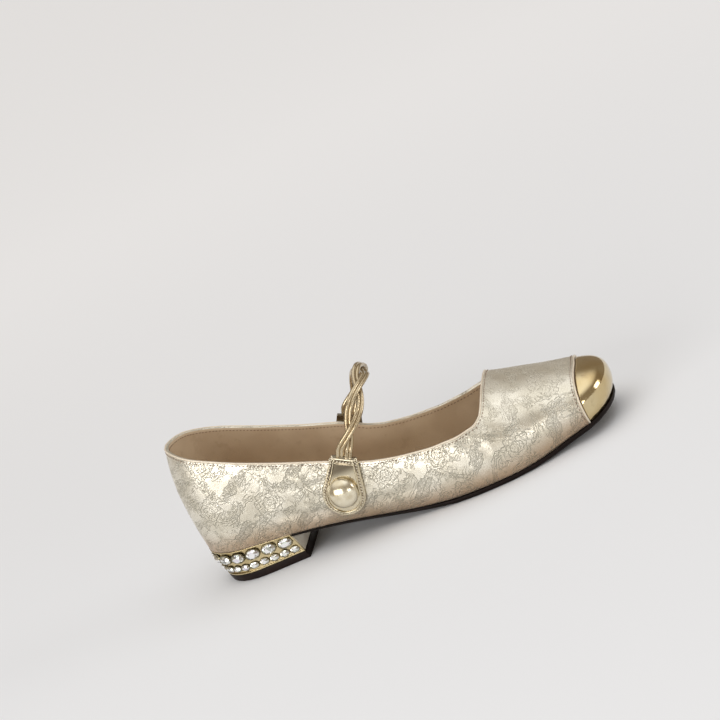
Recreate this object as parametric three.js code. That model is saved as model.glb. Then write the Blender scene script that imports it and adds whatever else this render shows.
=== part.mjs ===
// A right Mary Jane shoe: a brocade upper on a low heel set with stones, a plain metallic toe cap,
// and a twisted double strap held by a stitched tab with a pearl button.
// Millimetres, +X to the toe, +Y to the inner (big toe) side, +Z up.

import * as THREE from "three";
import { mergeVertices } from "three/addons/utils/BufferGeometryUtils.js";

// Overall sizes
const SHOE_LENGTH = 243; // feather edge, back of the heel to the tip of the toe
const BALL_WIDTH = 77; // feather edge, across the ball
const HEEL_WIDTH = 53; // feather edge, across the heel
const INSTEP_HEIGHT = 84; // ridge of the last above the floor, at the instep
const HEEL_HEIGHT = 20.5; // floor to the seat
const TOE_SPRING = 9; // floor to the sole's tip
const BACK_HEIGHT = 64; // seat to the top line at the back
const FIT_GAP = 0.3; // left between pieces that touch

// Upper and toe cap
const UPPER_WALL = 2;
const CAP_WALL = 1.4;
const CAP_STEP = 0.8; // how far the cap lies under the face of the vamp
const SEAM_GAP = 0.6; // between the vamp's edge and the cap
const CAP_LENGTH = 13; // toe tip to the top of the cap seam
const CAP_SLANT = 1.5; // how far the seam's feet are behind its top
const FEATHER_TUCK = 1; // extra width of the upper's flat bottom edge

// Sole and insole
const SOLE_THICKNESS = 2.8;
const SOLE_EDGE = 0.5; // how far the sole stands out from the feather edge
const SOLE_BEVEL = 1; // bottom corner of the sole
const INSOLE_THICKNESS = 2.4;
const INSOLE_INSET = 0.6; // clear of the upper's bottom edge

// Heel
const HEEL_LENGTH = 52;
const HEEL_LEAN = 2.5; // how far forward the back comes from seat to floor
const BREAST_LEAN = 5.5; // and the breast
const HEEL_TAPER = 1; // how much narrower each side is at the floor
const HEEL_OVERHANG = 0.3; // how far the seat stands out over the heel
const LIFT_THICKNESS = 4.4;
const LIFT_BEVEL = 0.5;
const PLATE_THICKNESS = 1.9;
const PLATE_RECESS = 1;
const PLATE_RIM = 0.8;
const STONE_STRETCH = 1.3; // width over height

// Strap, tab and button
const CORD_DIAMETER = 2.2;
const TAB_LEAN = 27; // degrees forward from upright
const STRAP_LEAN = 39;
const STRAP_RISE = 36.5; // tab tops to the top of the strap, along the lean
const STRAP_GAP = 1.1; // from the tab's top edge
const STRAP_TURNS = 4; // half turns
const STRAP_OPEN = 0.4; // how much further apart the strands swing than they are wide
const TAB_ALONG = 93; // middle of the tab's round end, from the back and from the floor
const TAB_HEIGHT = 27.5;
const TAB_WIDTH = 23;
const TAB_REACH = 22; // from there to the top edge
const TAB_THICKNESS = 1.5;
const TAB_MARGIN = 2.4; // leather beside the strap at the top edge
const TAB_COVER = 0.4; // and over and under it
const TAB_FLARE = 9; // length over which the tab thickens to the top edge
const TAB_DISH = 3; // width of the slope round the button's flat seat
const INNER_TAB_RAISE = 8; // how much higher the inner tab sits
const INNER_TAB_WIDTH = 17.5;
const INNER_TAB_REACH = 17.5;
const BUTTON_DIAMETER = 17.5;
const BUTTON_HEIGHT = 7.5;
const BUTTON_RIM = 1.5;
const BUTTON_RAISE = 2.5; // above the middle of the tab's round end

// Shares that shape smaller details
const HEEL_SIDE = 1.15; // where the heel's straight side starts, over half the heel width
const ROW_SPREAD = 1.15; // above 1, the upper's rows are closer together near the sole
const CORNER_SHARE = 0.54; // where the columns begin to follow the throat
const VAMP_SHARE = 0.3; // foot of the middle column, from the throat to the cap seam
const TAB_BEVEL = 0.35;
const STRAP_EASE = 0.06; // of the strap's length, in which the strands swing apart
const CORD_CLOSENESS = 0.94; // of a cord's radius to the pair's middle
const CROSSING = 0.62; // of the half turn, in which one strand passes over the other

const LATERAL = -1;
const MEDIAL = 1;

// Rows with named columns.
const named = (names, row) => Object.fromEntries(names.map((name, i) => [name, row[i]]));
const table = (names, ...rows) => rows.map((row) => named(names, row));

// Rows of stones. size is a stone's height, as a share of the plate's height at the breast. pitch, the least
// room for one along the row, is a share of its width. rise is the height of the row's middle above the
// plate's bottom edge, as a share of the plate's height there.
const STONE_ROWS = table(
  ["name", "size", "pitch", "rise"],
  ["stone_large", 0.485, 1.21, 0.68],
  ["stone_small", 0.32, 1.18, 0.24],
);

// Outline of the feather edge between heel and toe. along is a share of the shoe's length, the other two are
// shares of the ball width.
const OUTLINE = table(
  ["along", "lateral", "medial"],
  [0.25, 0.336, 0.300],
  [0.36, 0.338, 0.262],
  [0.46, 0.372, 0.275],
  [0.56, 0.430, 0.345],
  [0.65, 0.474, 0.445],
  [0.73, 0.466, 0.513],
  [0.81, 0.415, 0.5],
  [0.88, 0.335, 0.455],
);

// Toe end of the outline: a rounded square about the middle of the toe.
const TOE = { along: 0.88, middle: 0.05, squareness: 2.35 };

// The sole. rise is the underside's height as a share of the heel height, spring what the toe spring adds to
// it, and thick its share of the sole thickness.
const SOLE = table(
  ["along", "rise", "spring", "thick"],
  [0, 1, 0, 0.45],
  [0.1, 0.9, 0, 0.45],
  [0.2, 0.78, 0, 0.45],
  [0.3, 0.6, 0, 0.5],
  [0.4, 0.37, 0, 0.6],
  [0.5, 0.15, 0, 0.75],
  [0.62, 0, 0, 0.95],
  [0.76, 0, 0, 1],
  [0.84, 0, 0.16, 1],
  [0.92, 0, 0.52, 1],
  [1, 0, 1, 1],
);

// Sections of the last. bulge is how far the widest line is beyond the feather edge, as a share of the ball
// width. widest is its height above the feather edge, and ridge the ridge's above the floor, as shares of the
// instep height. round is the section's roundness, and centre the ridge's offset to the inner side, as a
// share of the ball width.
const SECTIONS = table(
  ["along", "bulge", "widest", "ridge", "round", "centre"],
  [0, 0.008, 0.27, 1.27, 2, 0],
  [0.12, 0.03, 0.25, 1.26, 2.1, 0],
  [0.3, 0.04, 0.19, 1.12, 2.2, 0],
  [0.42, 0.045, 0.16, 0.98, 2.2, 0.02],
  [0.54, 0.045, 0.14, 0.82, 2.25, 0.04],
  [0.63, 0.04, 0.13, 0.68, 2.35, 0.055],
  [0.72, 0.036, 0.12, 0.575, 2.45, 0.065],
  [0.8, 0.034, 0.115, 0.5, 2.5, 0.07],
  [0.9, 0.03, 0.11, 0.425, 2.5, 0.07],
  [1, 0.03, 0.105, 0.36, 2.5, 0.07],
);

// Top line, from the back to the instep: height above the floor, as a share of seat plus back height.
const TOP_LINE = {
  [LATERAL]: table(
    ["along", "height"],
    [0, 1],
    [0.03, 0.985],
    [0.076, 0.94],
    [0.12, 0.886],
    [0.18, 0.803],
    [0.24, 0.726],
    [0.32, 0.632],
    [0.39, 0.556],
  ),
  [MEDIAL]: table(
    ["along", "height"],
    [0, 1],
    [0.03, 0.985],
    [0.076, 0.94],
    [0.12, 0.89],
    [0.18, 0.815],
    [0.24, 0.745],
    [0.32, 0.66],
    [0.39, 0.59],
  ),
};

// Throat, from the instep round to the ridge: the share of the girth, from feather edge to ridge, that is
// covered.
const THROAT = {
  [LATERAL]: table(
    ["along", "girth"],
    [0.46, 0.385],
    [0.54, 0.383],
    [0.61, 0.395],
    [0.67, 0.415],
    [0.703, 0.437],
    [0.723, 0.48],
    [0.735, 0.56],
    [0.741, 0.68],
    [0.743, 0.82],
    [0.743, 1],
  ),
  [MEDIAL]: table(
    ["along", "girth"],
    [0.46, 0.42],
    [0.54, 0.41],
    [0.61, 0.415],
    [0.67, 0.43],
    [0.703, 0.45],
    [0.723, 0.49],
    [0.735, 0.565],
    [0.741, 0.68],
    [0.743, 0.82],
    [0.743, 1],
  ),
};

// A smooth curve without overshoot through one column of a table.
function reading(rows, name) {
  const x = rows.map((row) => row.along);
  const y = rows.map((row) => row[name]);
  const slope = x.slice(1).map((v, i) => (y[i + 1] - y[i]) / (v - x[i]));
  const tangent = x.map((_, i) => {
    const before = slope[Math.max(i - 1, 0)];
    const after = slope[Math.min(i, slope.length - 1)];
    return before * after <= 0 ? 0 : (2 * before * after) / (before + after);
  });
  return (at) => {
    const clamped = THREE.MathUtils.clamp(at, x[0], x[x.length - 1]);
    const i = Math.max(0, Math.min(x.length - 2, x.findIndex((v) => v >= clamped) - 1));
    const width = x[i + 1] - x[i];
    const t = (clamped - x[i]) / width;
    const rest = 1 - t;
    return (
      rest * rest * (1 + 2 * t) * y[i] +
      t * t * (3 - 2 * t) * y[i + 1] +
      width * t * rest * (rest * tangent[i] - t * tangent[i + 1])
    );
  };
}

const soleRise = reading(SOLE, "rise");
const soleSpring = reading(SOLE, "spring");
const soleThick = reading(SOLE, "thick");
const bulge = reading(SECTIONS, "bulge");
const widest = reading(SECTIONS, "widest");
const ridge = reading(SECTIONS, "ridge");
const roundness = reading(SECTIONS, "round");
const centre = reading(SECTIONS, "centre");

const underside = (x) => HEEL_HEIGHT * soleRise(x / SHOE_LENGTH) + TOE_SPRING * soleSpring(x / SHOE_LENGTH);
const soleTop = (x) => underside(x) + SOLE_THICKNESS * soleThick(x / SHOE_LENGTH);
const feather = (x) => soleTop(x) + FIT_GAP;

// The feather edge as one closed curve, and points on either side of it. way runs from 0, the back, to 1,
// the toe.
function makeOutline() {
  const half = HEEL_WIDTH / 2;
  const back = [0, 25, 50, 75].map((degrees) => THREE.MathUtils.degToRad(degrees));
  const toeX = TOE.along * SHOE_LENGTH;
  const toeY = TOE.middle * BALL_WIDTH;
  const last = OUTLINE[OUTLINE.length - 1];
  const side = (sign) => [
    ...back.slice(1).map((a) => new THREE.Vector3(half * (1 - Math.cos(a)), sign * half * Math.sin(a), 0)),
    new THREE.Vector3(half * HEEL_SIDE, sign * half, 0),
    ...OUTLINE.map((row) => {
      const width = sign < 0 ? row.lateral : row.medial;
      return new THREE.Vector3(row.along * SHOE_LENGTH, sign * width * BALL_WIDTH, 0);
    }),
    ...[62, 40, 20].map((degrees) => {
      const a = THREE.MathUtils.degToRad(degrees);
      const power = 2 / TOE.squareness;
      const width = (sign < 0 ? last.lateral : last.medial) * BALL_WIDTH - sign * toeY;
      return new THREE.Vector3(
        toeX + (SHOE_LENGTH - toeX) * Math.cos(a) ** power,
        toeY + sign * width * Math.sin(a) ** power,
        0,
      );
    }),
  ];
  const lateral = side(LATERAL);
  const medial = side(MEDIAL);
  const tip = new THREE.Vector3(SHOE_LENGTH, toeY, 0);
  const points = [new THREE.Vector3(0, 0, 0), ...lateral, tip, ...medial.reverse()];
  const curve = new THREE.CatmullRomCurve3(points, true, "centripetal");
  curve.arcLengthDivisions = 600;
  const lengths = curve.getLengths();
  const toe = lengths[Math.round((600 * (lateral.length + 1)) / points.length)] / lengths[600];
  return { curve, toe };
}

const outline = makeOutline();

function outlinePoint(side, way) {
  const t = side === LATERAL ? way * outline.toe : 1 - way * (1 - outline.toe);
  const p = outline.curve.getPointAt(THREE.MathUtils.euclideanModulo(t, 1));
  return new THREE.Vector2(p.x, p.y);
}

// A point beside the feather edge: out is positive away from the foot.
function beside(side, way, out) {
  const step = 1e-3;
  const a = outlinePoint(side, Math.max(0, way - step));
  const b = outlinePoint(side, Math.min(1, way + step));
  const along = b.sub(a).normalize();
  const normal = new THREE.Vector2(-side * along.y, side * along.x);
  if (way < step || way > 1 - step) normal.set(way < step ? -1 : 1, 0);
  return outlinePoint(side, way).addScaledVector(normal, out);
}

// The way along the outline at which it passes x.
function wayAt(side, x) {
  let low = 0;
  let high = 1;
  for (let i = 0; i < 40; i++) {
    const middle = (low + high) / 2;
    if (outlinePoint(side, middle).x < x) low = middle;
    else high = middle;
  }
  return (low + high) / 2;
}

// Ribs run straight across at the heel, lean forward a little towards the cap seam, and in the cap meet at
// its top.
const SEAM_X = SHOE_LENGTH - CAP_LENGTH;
const SEAM_FOOT_X = SEAM_X - CAP_SLANT;
function ridgeX(x) {
  if (x > SEAM_FOOT_X) return SEAM_X;
  const lean = CAP_SLANT * THREE.MathUtils.smoothstep(x, SHOE_LENGTH / 2, SEAM_FOOT_X);
  return Math.max(x, HEEL_WIDTH / 2) + lean;
}

const RIB_STEPS = 48;
const FEATHER_ANGLE = THREE.MathUtils.degToRad(30);
const ribs = new Map();

// A rib of the last: from the feather edge out to the widest line, and over to the ridge.
function rib(side, way) {
  const key = `${side} ${way.toFixed(6)}`;
  if (ribs.has(key)) return ribs.get(key);
  const foot = outlinePoint(side, way);
  const share = foot.x / SHOE_LENGTH;
  const topX = ridgeX(foot.x);
  const topShare = topX / SHOE_LENGTH;
  const top = new THREE.Vector2(topX, centre(topShare) * BALL_WIDTH);
  const full = 1 + (bulge(share) * BALL_WIDTH) / foot.distanceTo(top);
  const low = feather(foot.x);
  const middle = low + widest(share) * INSTEP_HEIGHT;
  const high = ridge(topShare) * INSTEP_HEIGHT;
  const fall = ((ridge(topShare + 0.01) - ridge(topShare - 0.01)) * INSTEP_HEIGHT) / (0.02 * SHOE_LENGTH);
  const power = 2 / roundness(share);
  const points = [];
  const put = (q, z) => {
    const flat = top.clone().lerp(foot, q);
    const tilt = foot.x > SEAM_FOOT_X ? fall * (flat.x - top.x) * (1 - (q / full) ** 2) ** 2 : 0;
    points.push(new THREE.Vector3(flat.x, flat.y, z + tilt));
  };
  const lowSteps = RIB_STEPS / 3;
  for (let i = 0; i < lowSteps; i++) {
    const a = FEATHER_ANGLE + ((Math.PI / 2 - FEATHER_ANGLE) * i) / lowSteps;
    const out = (Math.sin(a) - Math.sin(FEATHER_ANGLE)) / (1 - Math.sin(FEATHER_ANGLE));
    const climb = 1 - Math.cos(a) / Math.cos(FEATHER_ANGLE);
    put(1 + (full - 1) * out, low + (middle - low) * climb);
  }
  for (let i = 0; i <= RIB_STEPS; i++) {
    const a = (Math.PI / 2) * (i / RIB_STEPS);
    put(full * Math.max(0, Math.cos(a)) ** power, middle + (high - middle) * Math.sin(a) ** power);
  }
  const lengths = [0];
  for (let i = 1; i < points.length; i++) {
    lengths.push(lengths[i - 1] + points[i].distanceTo(points[i - 1]));
  }
  const made = { points, lengths };
  ribs.set(key, made);
  return made;
}

// A point of the last. up runs along the rib, 0 at the feather edge and 1 at the ridge.
function lastPoint(side, way, up) {
  const { points, lengths } = rib(side, way);
  const goal = up * lengths[lengths.length - 1];
  let i = 1;
  while (i < lengths.length - 1 && lengths[i] < goal) i++;
  return points[i - 1].clone().lerp(points[i], (goal - lengths[i - 1]) / (lengths[i] - lengths[i - 1]));
}

// How far up the rib a test first holds.
function upWhere(side, way, test) {
  let low = 0.05;
  let high = 1;
  for (let i = 0; i < 30; i++) {
    const middle = (low + high) / 2;
    if (test(lastPoint(side, way, middle))) high = middle;
    else low = middle;
  }
  return (low + high) / 2;
}

// Top line and throat of one side as a curve of (way, up) pairs.
function makeCollar(side) {
  const points = TOP_LINE[side].map((row) => {
    const way = row.along === 0 ? 0 : wayAt(side, row.along * SHOE_LENGTH);
    const height = row.height * (HEEL_HEIGHT + BACK_HEIGHT);
    return new THREE.Vector3(way, upWhere(side, way, (p) => p.z >= height), 0);
  });
  for (const row of THROAT[side]) {
    points.push(new THREE.Vector3(wayAt(side, row.along * SHOE_LENGTH), row.girth, 0));
  }
  const curve = new THREE.CatmullRomCurve3(points, false, "centripetal");
  curve.arcLengthDivisions = 400;
  return curve;
}

// Columns of the upper's outer face, from the sole to the top line and, in front of the throat, to the ridge.
const QUARTER_COLUMNS = 19;
const THROAT_COLUMNS = 12;
const VAMP_COLUMNS = 7;
const UPPER_ROWS = 9;
function upperColumns(side) {
  const samples = makeCollar(side).getSpacedPoints(400);
  const cornerWay = wayAt(side, CORNER_SHARE * SHOE_LENGTH);
  const throatX = THROAT[side][THROAT[side].length - 1].along * SHOE_LENGTH;
  const frontX = THREE.MathUtils.lerp(throatX, SEAM_FOOT_X, VAMP_SHARE);
  const front = samples.slice(samples.findIndex((p) => p.x >= cornerWay));
  const ends = [];
  for (let i = 0; i < QUARTER_COLUMNS; i++) {
    const way = (cornerWay * i) / QUARTER_COLUMNS;
    const k = Math.max(1, samples.findIndex((p) => p.x >= way));
    const t = (way - samples[k - 1].x) / (samples[k].x - samples[k - 1].x);
    ends.push([way, way, THREE.MathUtils.lerp(samples[k - 1].y, samples[k].y, t)]);
  }
  for (let i = 0; i <= THROAT_COLUMNS; i++) {
    const p = front[Math.round(((front.length - 1) * i) / THROAT_COLUMNS)];
    const climbed = (p.y - front[0].y) / (1 - front[0].y);
    const footX = outlinePoint(side, p.x).x + (frontX - throatX) * Math.max(0, climbed);
    ends.push([wayAt(side, footX), p.x, p.y]);
  }
  for (let i = 1; i <= VAMP_COLUMNS; i++) {
    const way = (from) => wayAt(side, THREE.MathUtils.lerp(from, SEAM_FOOT_X, i / VAMP_COLUMNS));
    ends.push([way(frontX), way(throatX), 1]);
  }
  return ends.map(([footWay, topWay, topUp]) =>
    Array.from({ length: UPPER_ROWS + 1 }, (_, j) => {
      const t = (j / UPPER_ROWS) ** ROW_SPREAD;
      return lastPoint(side, THREE.MathUtils.lerp(footWay, topWay, t), topUp * t);
    }),
  );
}

// Faces of a grid of points, as loose triangles.
function gridFaces(grid, flip = false) {
  const out = [];
  for (let i = 0; i + 1 < grid.length; i++)
    for (let j = 0; j + 1 < grid[i].length; j++) {
      const [a, b, c, d] = [grid[i][j], grid[i + 1][j], grid[i + 1][j + 1], grid[i][j + 1]];
      out.push(...(flip ? [a, c, b, a, d, c] : [a, b, c, a, c, d]));
    }
  return out;
}

// Points joined where they meet, without the triangles that this leaves flat.
function joined(corners) {
  const merged = mergeVertices(new THREE.BufferGeometry().setFromPoints(corners), 1e-3);
  const index = [...merged.index.array];
  const kept = [];
  for (let i = 0; i < index.length; i += 3) {
    const [a, b, c] = index.slice(i, i + 3);
    if (a !== b && b !== c && c !== a) kept.push(a, b, c);
  }
  merged.setIndex(kept);
  return merged;
}

// One closed solid, facing out, from grids whose edges meet.
function solid(...faces) {
  const merged = joined(faces.flat());
  const kept = [...merged.index.array];
  const corner = (i) => new THREE.Vector3().fromBufferAttribute(merged.attributes.position, kept[i]);
  let volume = 0;
  for (let i = 0; i < kept.length; i += 3) volume += corner(i).dot(corner(i + 1).cross(corner(i + 2)));
  if (volume < 0) kept.reverse();
  merged.setIndex(kept);
  merged.computeVertexNormals();
  return merged;
}

// A function that gives the smooth normal at a corner of some faces.
function normalsOf(faces) {
  const merged = joined(faces);
  merged.computeVertexNormals();
  const { position, normal } = merged.attributes;
  const spot = (x, y, z) => [x, y, z].map((v) => Math.round(Math.fround(v) * 50)).join(" ");
  const found = new Map();
  for (let i = 0; i < position.count; i++) {
    const key = spot(position.getX(i), position.getY(i), position.getZ(i));
    found.set(key, new THREE.Vector3().fromBufferAttribute(normal, i));
  }
  return (q) => found.get(spot(q.x, q.y, q.z));
}

function upperGeometry() {
  const sides = [upperColumns(LATERAL), upperColumns(MEDIAL)];
  const normal = normalsOf([...gridFaces(sides[0]), ...gridFaces(sides[1], true)]);
  const faces = [];
  sides.forEach((outer, s) => {
    const medial = s === 1;
    const within = (p) => p.clone().addScaledVector(normal(p), -UPPER_WALL);
    const inner = outer.map((column) => column.map(within));
    outer.slice(0, -1).forEach((column, i) => {
      const out = normal(column[1]).clone().setZ(0).normalize();
      inner[i][0].copy(column[0]).addScaledVector(out, -UPPER_WALL - FEATHER_TUCK);
    });
    const rim = (j, count) => outer.slice(0, count).map((column, i) => [column[j], inner[i][j]]);
    const last = outer.length - 1;
    faces.push(
      gridFaces(outer, medial),
      gridFaces(inner, !medial),
      gridFaces(rim(0, last + 1), !medial),
      gridFaces(rim(UPPER_ROWS, last + 1 - VAMP_COLUMNS), medial),
      gridFaces([outer[last], inner[last]], medial),
    );
  });
  return solid(...faces);
}

// The cap's face is a half disc of ribs: lines from the seam to the feather edge, side to side.
const CAP_COLUMNS = 22;
const CAP_ROWS = 9;
function capGeometry() {
  const seam = (side) => wayAt(side, SEAM_FOOT_X + SEAM_GAP);
  const grid = Array.from({ length: CAP_COLUMNS + 1 }, (_, i) => {
    const across = Math.PI * (i / CAP_COLUMNS - 0.5);
    return Array.from({ length: CAP_ROWS + 1 }, (_, j) => {
      const [x, y] = [Math.cos(across) * (j / CAP_ROWS), Math.sin(across)];
      const side = y < 0 ? LATERAL : MEDIAL;
      const turn = Math.abs(Math.atan2(y, x)) / (Math.PI / 2);
      const up = 1 - Math.min(1, Math.hypot(x, y));
      const way = 1 - (1 - seam(side)) * Math.min(1, turn);
      return lastPoint(side, way, up).add(new THREE.Vector3(SEAM_GAP * up, 0, 0));
    });
  });
  const normal = normalsOf(gridFaces(grid, true));
  const outer = grid.map((column) => column.map((p) => p.clone().addScaledVector(normal(p), -CAP_STEP)));
  const inner = grid.map((column) => {
    return column.map((p) => p.clone().addScaledVector(normal(p), -CAP_STEP - CAP_WALL));
  });
  grid.forEach((column, i) => {
    const out = normal(column[CAP_ROWS]).clone().setZ(0).normalize();
    outer[i][CAP_ROWS].copy(column[CAP_ROWS]).addScaledVector(out, -CAP_STEP);
    inner[i][CAP_ROWS].copy(column[CAP_ROWS]).addScaledVector(out, -UPPER_WALL - FEATHER_TUCK);
  });
  const last = outer.length - 1;
  outer[0].fill(outer[0][CAP_ROWS]);
  outer[last].fill(outer[last][CAP_ROWS]);
  inner[0].fill(inner[0][CAP_ROWS]);
  inner[last].fill(inner[last][CAP_ROWS]);
  const rim = (j) => outer.map((column, i) => [column[j], inner[i][j]]);
  return solid(gridFaces(outer), gridFaces(inner, true), gridFaces(rim(0), true), gridFaces(rim(CAP_ROWS)));
}

// A slab from stations along the shoe and levels that give the points on each side, from the bottom up.
function slab(stations, levels) {
  const side = (sign) => levels.map((level) => stations.map((x) => level(sign, wayAt(sign, x), x)));
  const [lateral, medial] = [side(LATERAL), side(MEDIAL)];
  const top = levels.length - 1;
  const end = stations.length - 1;
  return solid(
    gridFaces(lateral),
    gridFaces(medial, true),
    gridFaces([lateral[0], medial[0]], true),
    gridFaces([lateral[top], medial[top]]),
    gridFaces([lateral.map((row) => row[end]), medial.map((row) => row[end])], true),
  );
}

// Places along the shoe, closer together at the round ends.
const SOLE_STEPS = 30;
const soleStations = Array.from({ length: SOLE_STEPS + 1 }, (_, i) => {
  return SHOE_LENGTH * (0.5 - 0.5 * Math.cos((Math.PI * i) / SOLE_STEPS));
});

const level = (out, height) => (side, way) => {
  const p = beside(side, way, out);
  return new THREE.Vector3(p.x, p.y, height(p.x));
};

// The sole's edge stands out from the upper, but lies inside the heel plate at the seat.
const BREAST_X = HEEL_LENGTH + BREAST_LEAN * (1 - underside(HEEL_LENGTH) / HEEL_HEIGHT) + 2 * FIT_GAP;
const SEAT_TAPER = HEEL_TAPER * (1 - underside(HEEL_LENGTH) / HEEL_HEIGHT);
const SEAT_EDGE = -PLATE_THICKNESS - 2 * FIT_GAP - HEEL_OVERHANG - SEAT_TAPER;
function outsoleGeometry() {
  const step = [BREAST_X, BREAST_X + 0.01];
  const clear = soleStations.filter((x) => Math.abs(x - BREAST_X) > 2);
  const stations = [...clear, ...step].sort((a, b) => a - b);
  const out = (x) => (x > BREAST_X ? SOLE_EDGE : SEAT_EDGE);
  const edge = (inset, height) => (side, way, x) => level(out(x) - inset, height)(side, way);
  const bevel = (x) => Math.min(SOLE_BEVEL, 0.6 * (soleTop(x) - underside(x)));
  return slab(stations, [
    edge(SOLE_BEVEL, underside),
    edge(0, (x) => underside(x) + bevel(x)),
    edge(0, soleTop),
  ]);
}

const insoleEdge = -UPPER_WALL - FEATHER_TUCK - INSOLE_INSET;
const insoleTop = (x) => feather(x) + INSOLE_THICKNESS;
const insoleGeometry = () => slab(soleStations, [level(insoleEdge, feather), level(insoleEdge, insoleTop)]);

// A point on the heel's outside: high is 0 at the floor and 1 at the seat.
function heelPoint(side, way, out, high) {
  const p = beside(side, way, out - HEEL_OVERHANG - HEEL_TAPER * (1 - high));
  const lean = THREE.MathUtils.lerp(HEEL_LEAN, BREAST_LEAN, THREE.MathUtils.clamp(p.x / HEEL_LENGTH, 0, 1));
  return new THREE.Vector3(p.x + lean * (1 - high), p.y, high * HEEL_HEIGHT);
}

// The same at a height above the floor, and where a roof above it cuts it off.
function heelAt(side, way, out, height) {
  return heelPoint(side, way, out, height / HEEL_HEIGHT);
}
const heelUnder = (side, way, out, roof) => heelAt(side, way, out, roof(heelPoint(side, way, out, 1).x));
const blockRoof = (x) => underside(x) - FIT_GAP;

const heelStations = Array.from({ length: 13 }, (_, i) => HEEL_LENGTH * (1 - Math.cos((Math.PI * i) / 24)));
const heelLevel = (out, height) => (side, way) => heelAt(side, way, out, height);

const liftGeometry = () =>
  slab(heelStations, [heelLevel(-LIFT_BEVEL, 0), heelLevel(0, LIFT_BEVEL), heelLevel(0, LIFT_THICKNESS)]);

const blockGeometry = () =>
  slab(heelStations, [
    heelLevel(-PLATE_THICKNESS - FIT_GAP, LIFT_THICKNESS + FIT_GAP),
    (side, way) => heelUnder(side, way, -PLATE_THICKNESS - FIT_GAP, blockRoof),
  ]);

// The plate's path: from the breast on the outer side round the back to the breast on the inner side.
const breastWay = { [LATERAL]: wayAt(LATERAL, HEEL_LENGTH), [MEDIAL]: wayAt(MEDIAL, HEEL_LENGTH) };
const platePath = (t) => {
  const side = t < 0.5 ? LATERAL : MEDIAL;
  return [side, breastWay[side] * Math.abs(2 * t - 1)];
};
function makePlateLength() {
  const at = (t) => heelAt(...platePath(t), 0, HEEL_HEIGHT / 2);
  let length = 0;
  for (let i = 1; i <= 100; i++) length += at(i / 100).distanceTo(at((i - 1) / 100));
  return length;
}

const plateLength = makePlateLength();
const PLATE_COLUMNS = 30;
const PLATE_BOTTOM = LIFT_THICKNESS + FIT_GAP;
const plateTop = (side, way) => heelUnder(side, way, 0, soleTop).z;
function plateGeometry() {
  const rim = PLATE_RIM / plateLength;
  const floor = 1.2 * rim;
  const places = [[0, 0], [rim, 0]];
  for (let i = 0; i <= PLATE_COLUMNS; i++) {
    places.push([THREE.MathUtils.lerp(floor, 1 - floor, i / PLATE_COLUMNS), PLATE_RECESS]);
  }
  places.push([1 - rim, 0], [1, 0]);
  const rings = places.map(([t, recess]) => {
    const [side, way] = platePath(t);
    const top = plateTop(side, way);
    const [low, high] = [PLATE_BOTTOM + PLATE_RIM, top - PLATE_RIM];
    const at = (out, height) => heelAt(side, way, out, height);
    return [
      at(0, PLATE_BOTTOM),
      at(0, low),
      at(-recess, low),
      at(-recess, high),
      at(0, high),
      at(0, top),
      at(-PLATE_THICKNESS, top),
      at(-PLATE_THICKNESS, PLATE_BOTTOM),
    ];
  });
  const end = (ring, flip) => gridFaces([[...Array(5).fill(ring[7]), ring[6]], ring.slice(0, 6)], flip);
  return solid(
    gridFaces(rings.map((ring) => [...ring, ring[0]])),
    end(rings[0], false),
    end(rings[rings.length - 1], true),
  );
}

// A frame at a base: z runs out, and x along.
function frameAt(base, along, out) {
  const up = new THREE.Vector3().crossVectors(out, along);
  return new THREE.Matrix4().makeBasis(along, up, out).setPosition(base);
}

// Rings of a cut stone from the middle of its base to the middle of its table, as shares of its height
// across. turn is a share of the step from one corner to the next.
const CUT_SIDES = 8;
const CUT = table(
  ["radius", "rise", "turn"],
  [0, 0, 0],
  [0.4, 0, 0],
  [0.5, 0.14, 0],
  [0.3, 0.32, 0.5],
  [0, 0.32, 0],
);
const stoneGeometry = (diameter) =>
  solid(
    gridFaces(
      CUT.map(({ radius, rise, turn }) =>
        Array.from({ length: CUT_SIDES + 1 }, (_, i) => {
          const a = ((i % CUT_SIDES) + turn) * ((2 * Math.PI) / CUT_SIDES);
          const p = new THREE.Vector3(STONE_STRETCH * radius * Math.cos(a), radius * Math.sin(a), rise);
          return p.multiplyScalar(diameter);
        }),
      ),
    ),
  );

// A row of stones round the plate.
function addStones({ name, size, pitch, rise }) {
  const diameter = size * (plateTop(LATERAL, breastWay[LATERAL]) - PLATE_BOTTOM);
  const length = plateLength - 2 * PLATE_RIM;
  const count = Math.max(1, Math.floor(length / (diameter * STONE_STRETCH * pitch)));
  for (let i = 0; i < count; i++) {
    const t = (PLATE_RIM + (length * (i + 0.5)) / count) / plateLength;
    const [side, way] = platePath(t);
    const height = THREE.MathUtils.lerp(PLATE_BOTTOM, plateTop(side, way), rise);
    const base = heelAt(side, way, FIT_GAP - PLATE_RECESS, height);
    const near = (dt, dz) => heelAt(...platePath(t + dt), FIT_GAP - PLATE_RECESS, height + dz);
    const along = near(0.004, 0).sub(near(-0.004, 0)).normalize();
    const up = near(0, 0.5).sub(near(0, -0.5)).normalize();
    const out = new THREE.Vector3().crossVectors(along, up).negate().normalize();
    if (out.dot(new THREE.Vector3(base.x - HEEL_LENGTH, base.y, 0)) < 0) out.negate();
    const stone = stoneGeometry(diameter).applyMatrix4(frameAt(base, along, out));
    piece(`${name}_${String(i + 1).padStart(2, "0")}`, stone, STONE);
  }
}

// A point of the last's side at a place along the shoe and a height above the floor, and the direction out
// of it.
const sidePoint = (side, x, z) => {
  const way = wayAt(side, x);
  return lastPoint(side, way, upWhere(side, way, (p) => p.z >= z));
};
function sideNormal(side, x, z) {
  const along = sidePoint(side, x + 1, z).sub(sidePoint(side, x - 1, z));
  const up = sidePoint(side, x, z + 1).sub(sidePoint(side, x, z - 1));
  return along.cross(up).normalize().multiplyScalar(-side);
}

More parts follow.
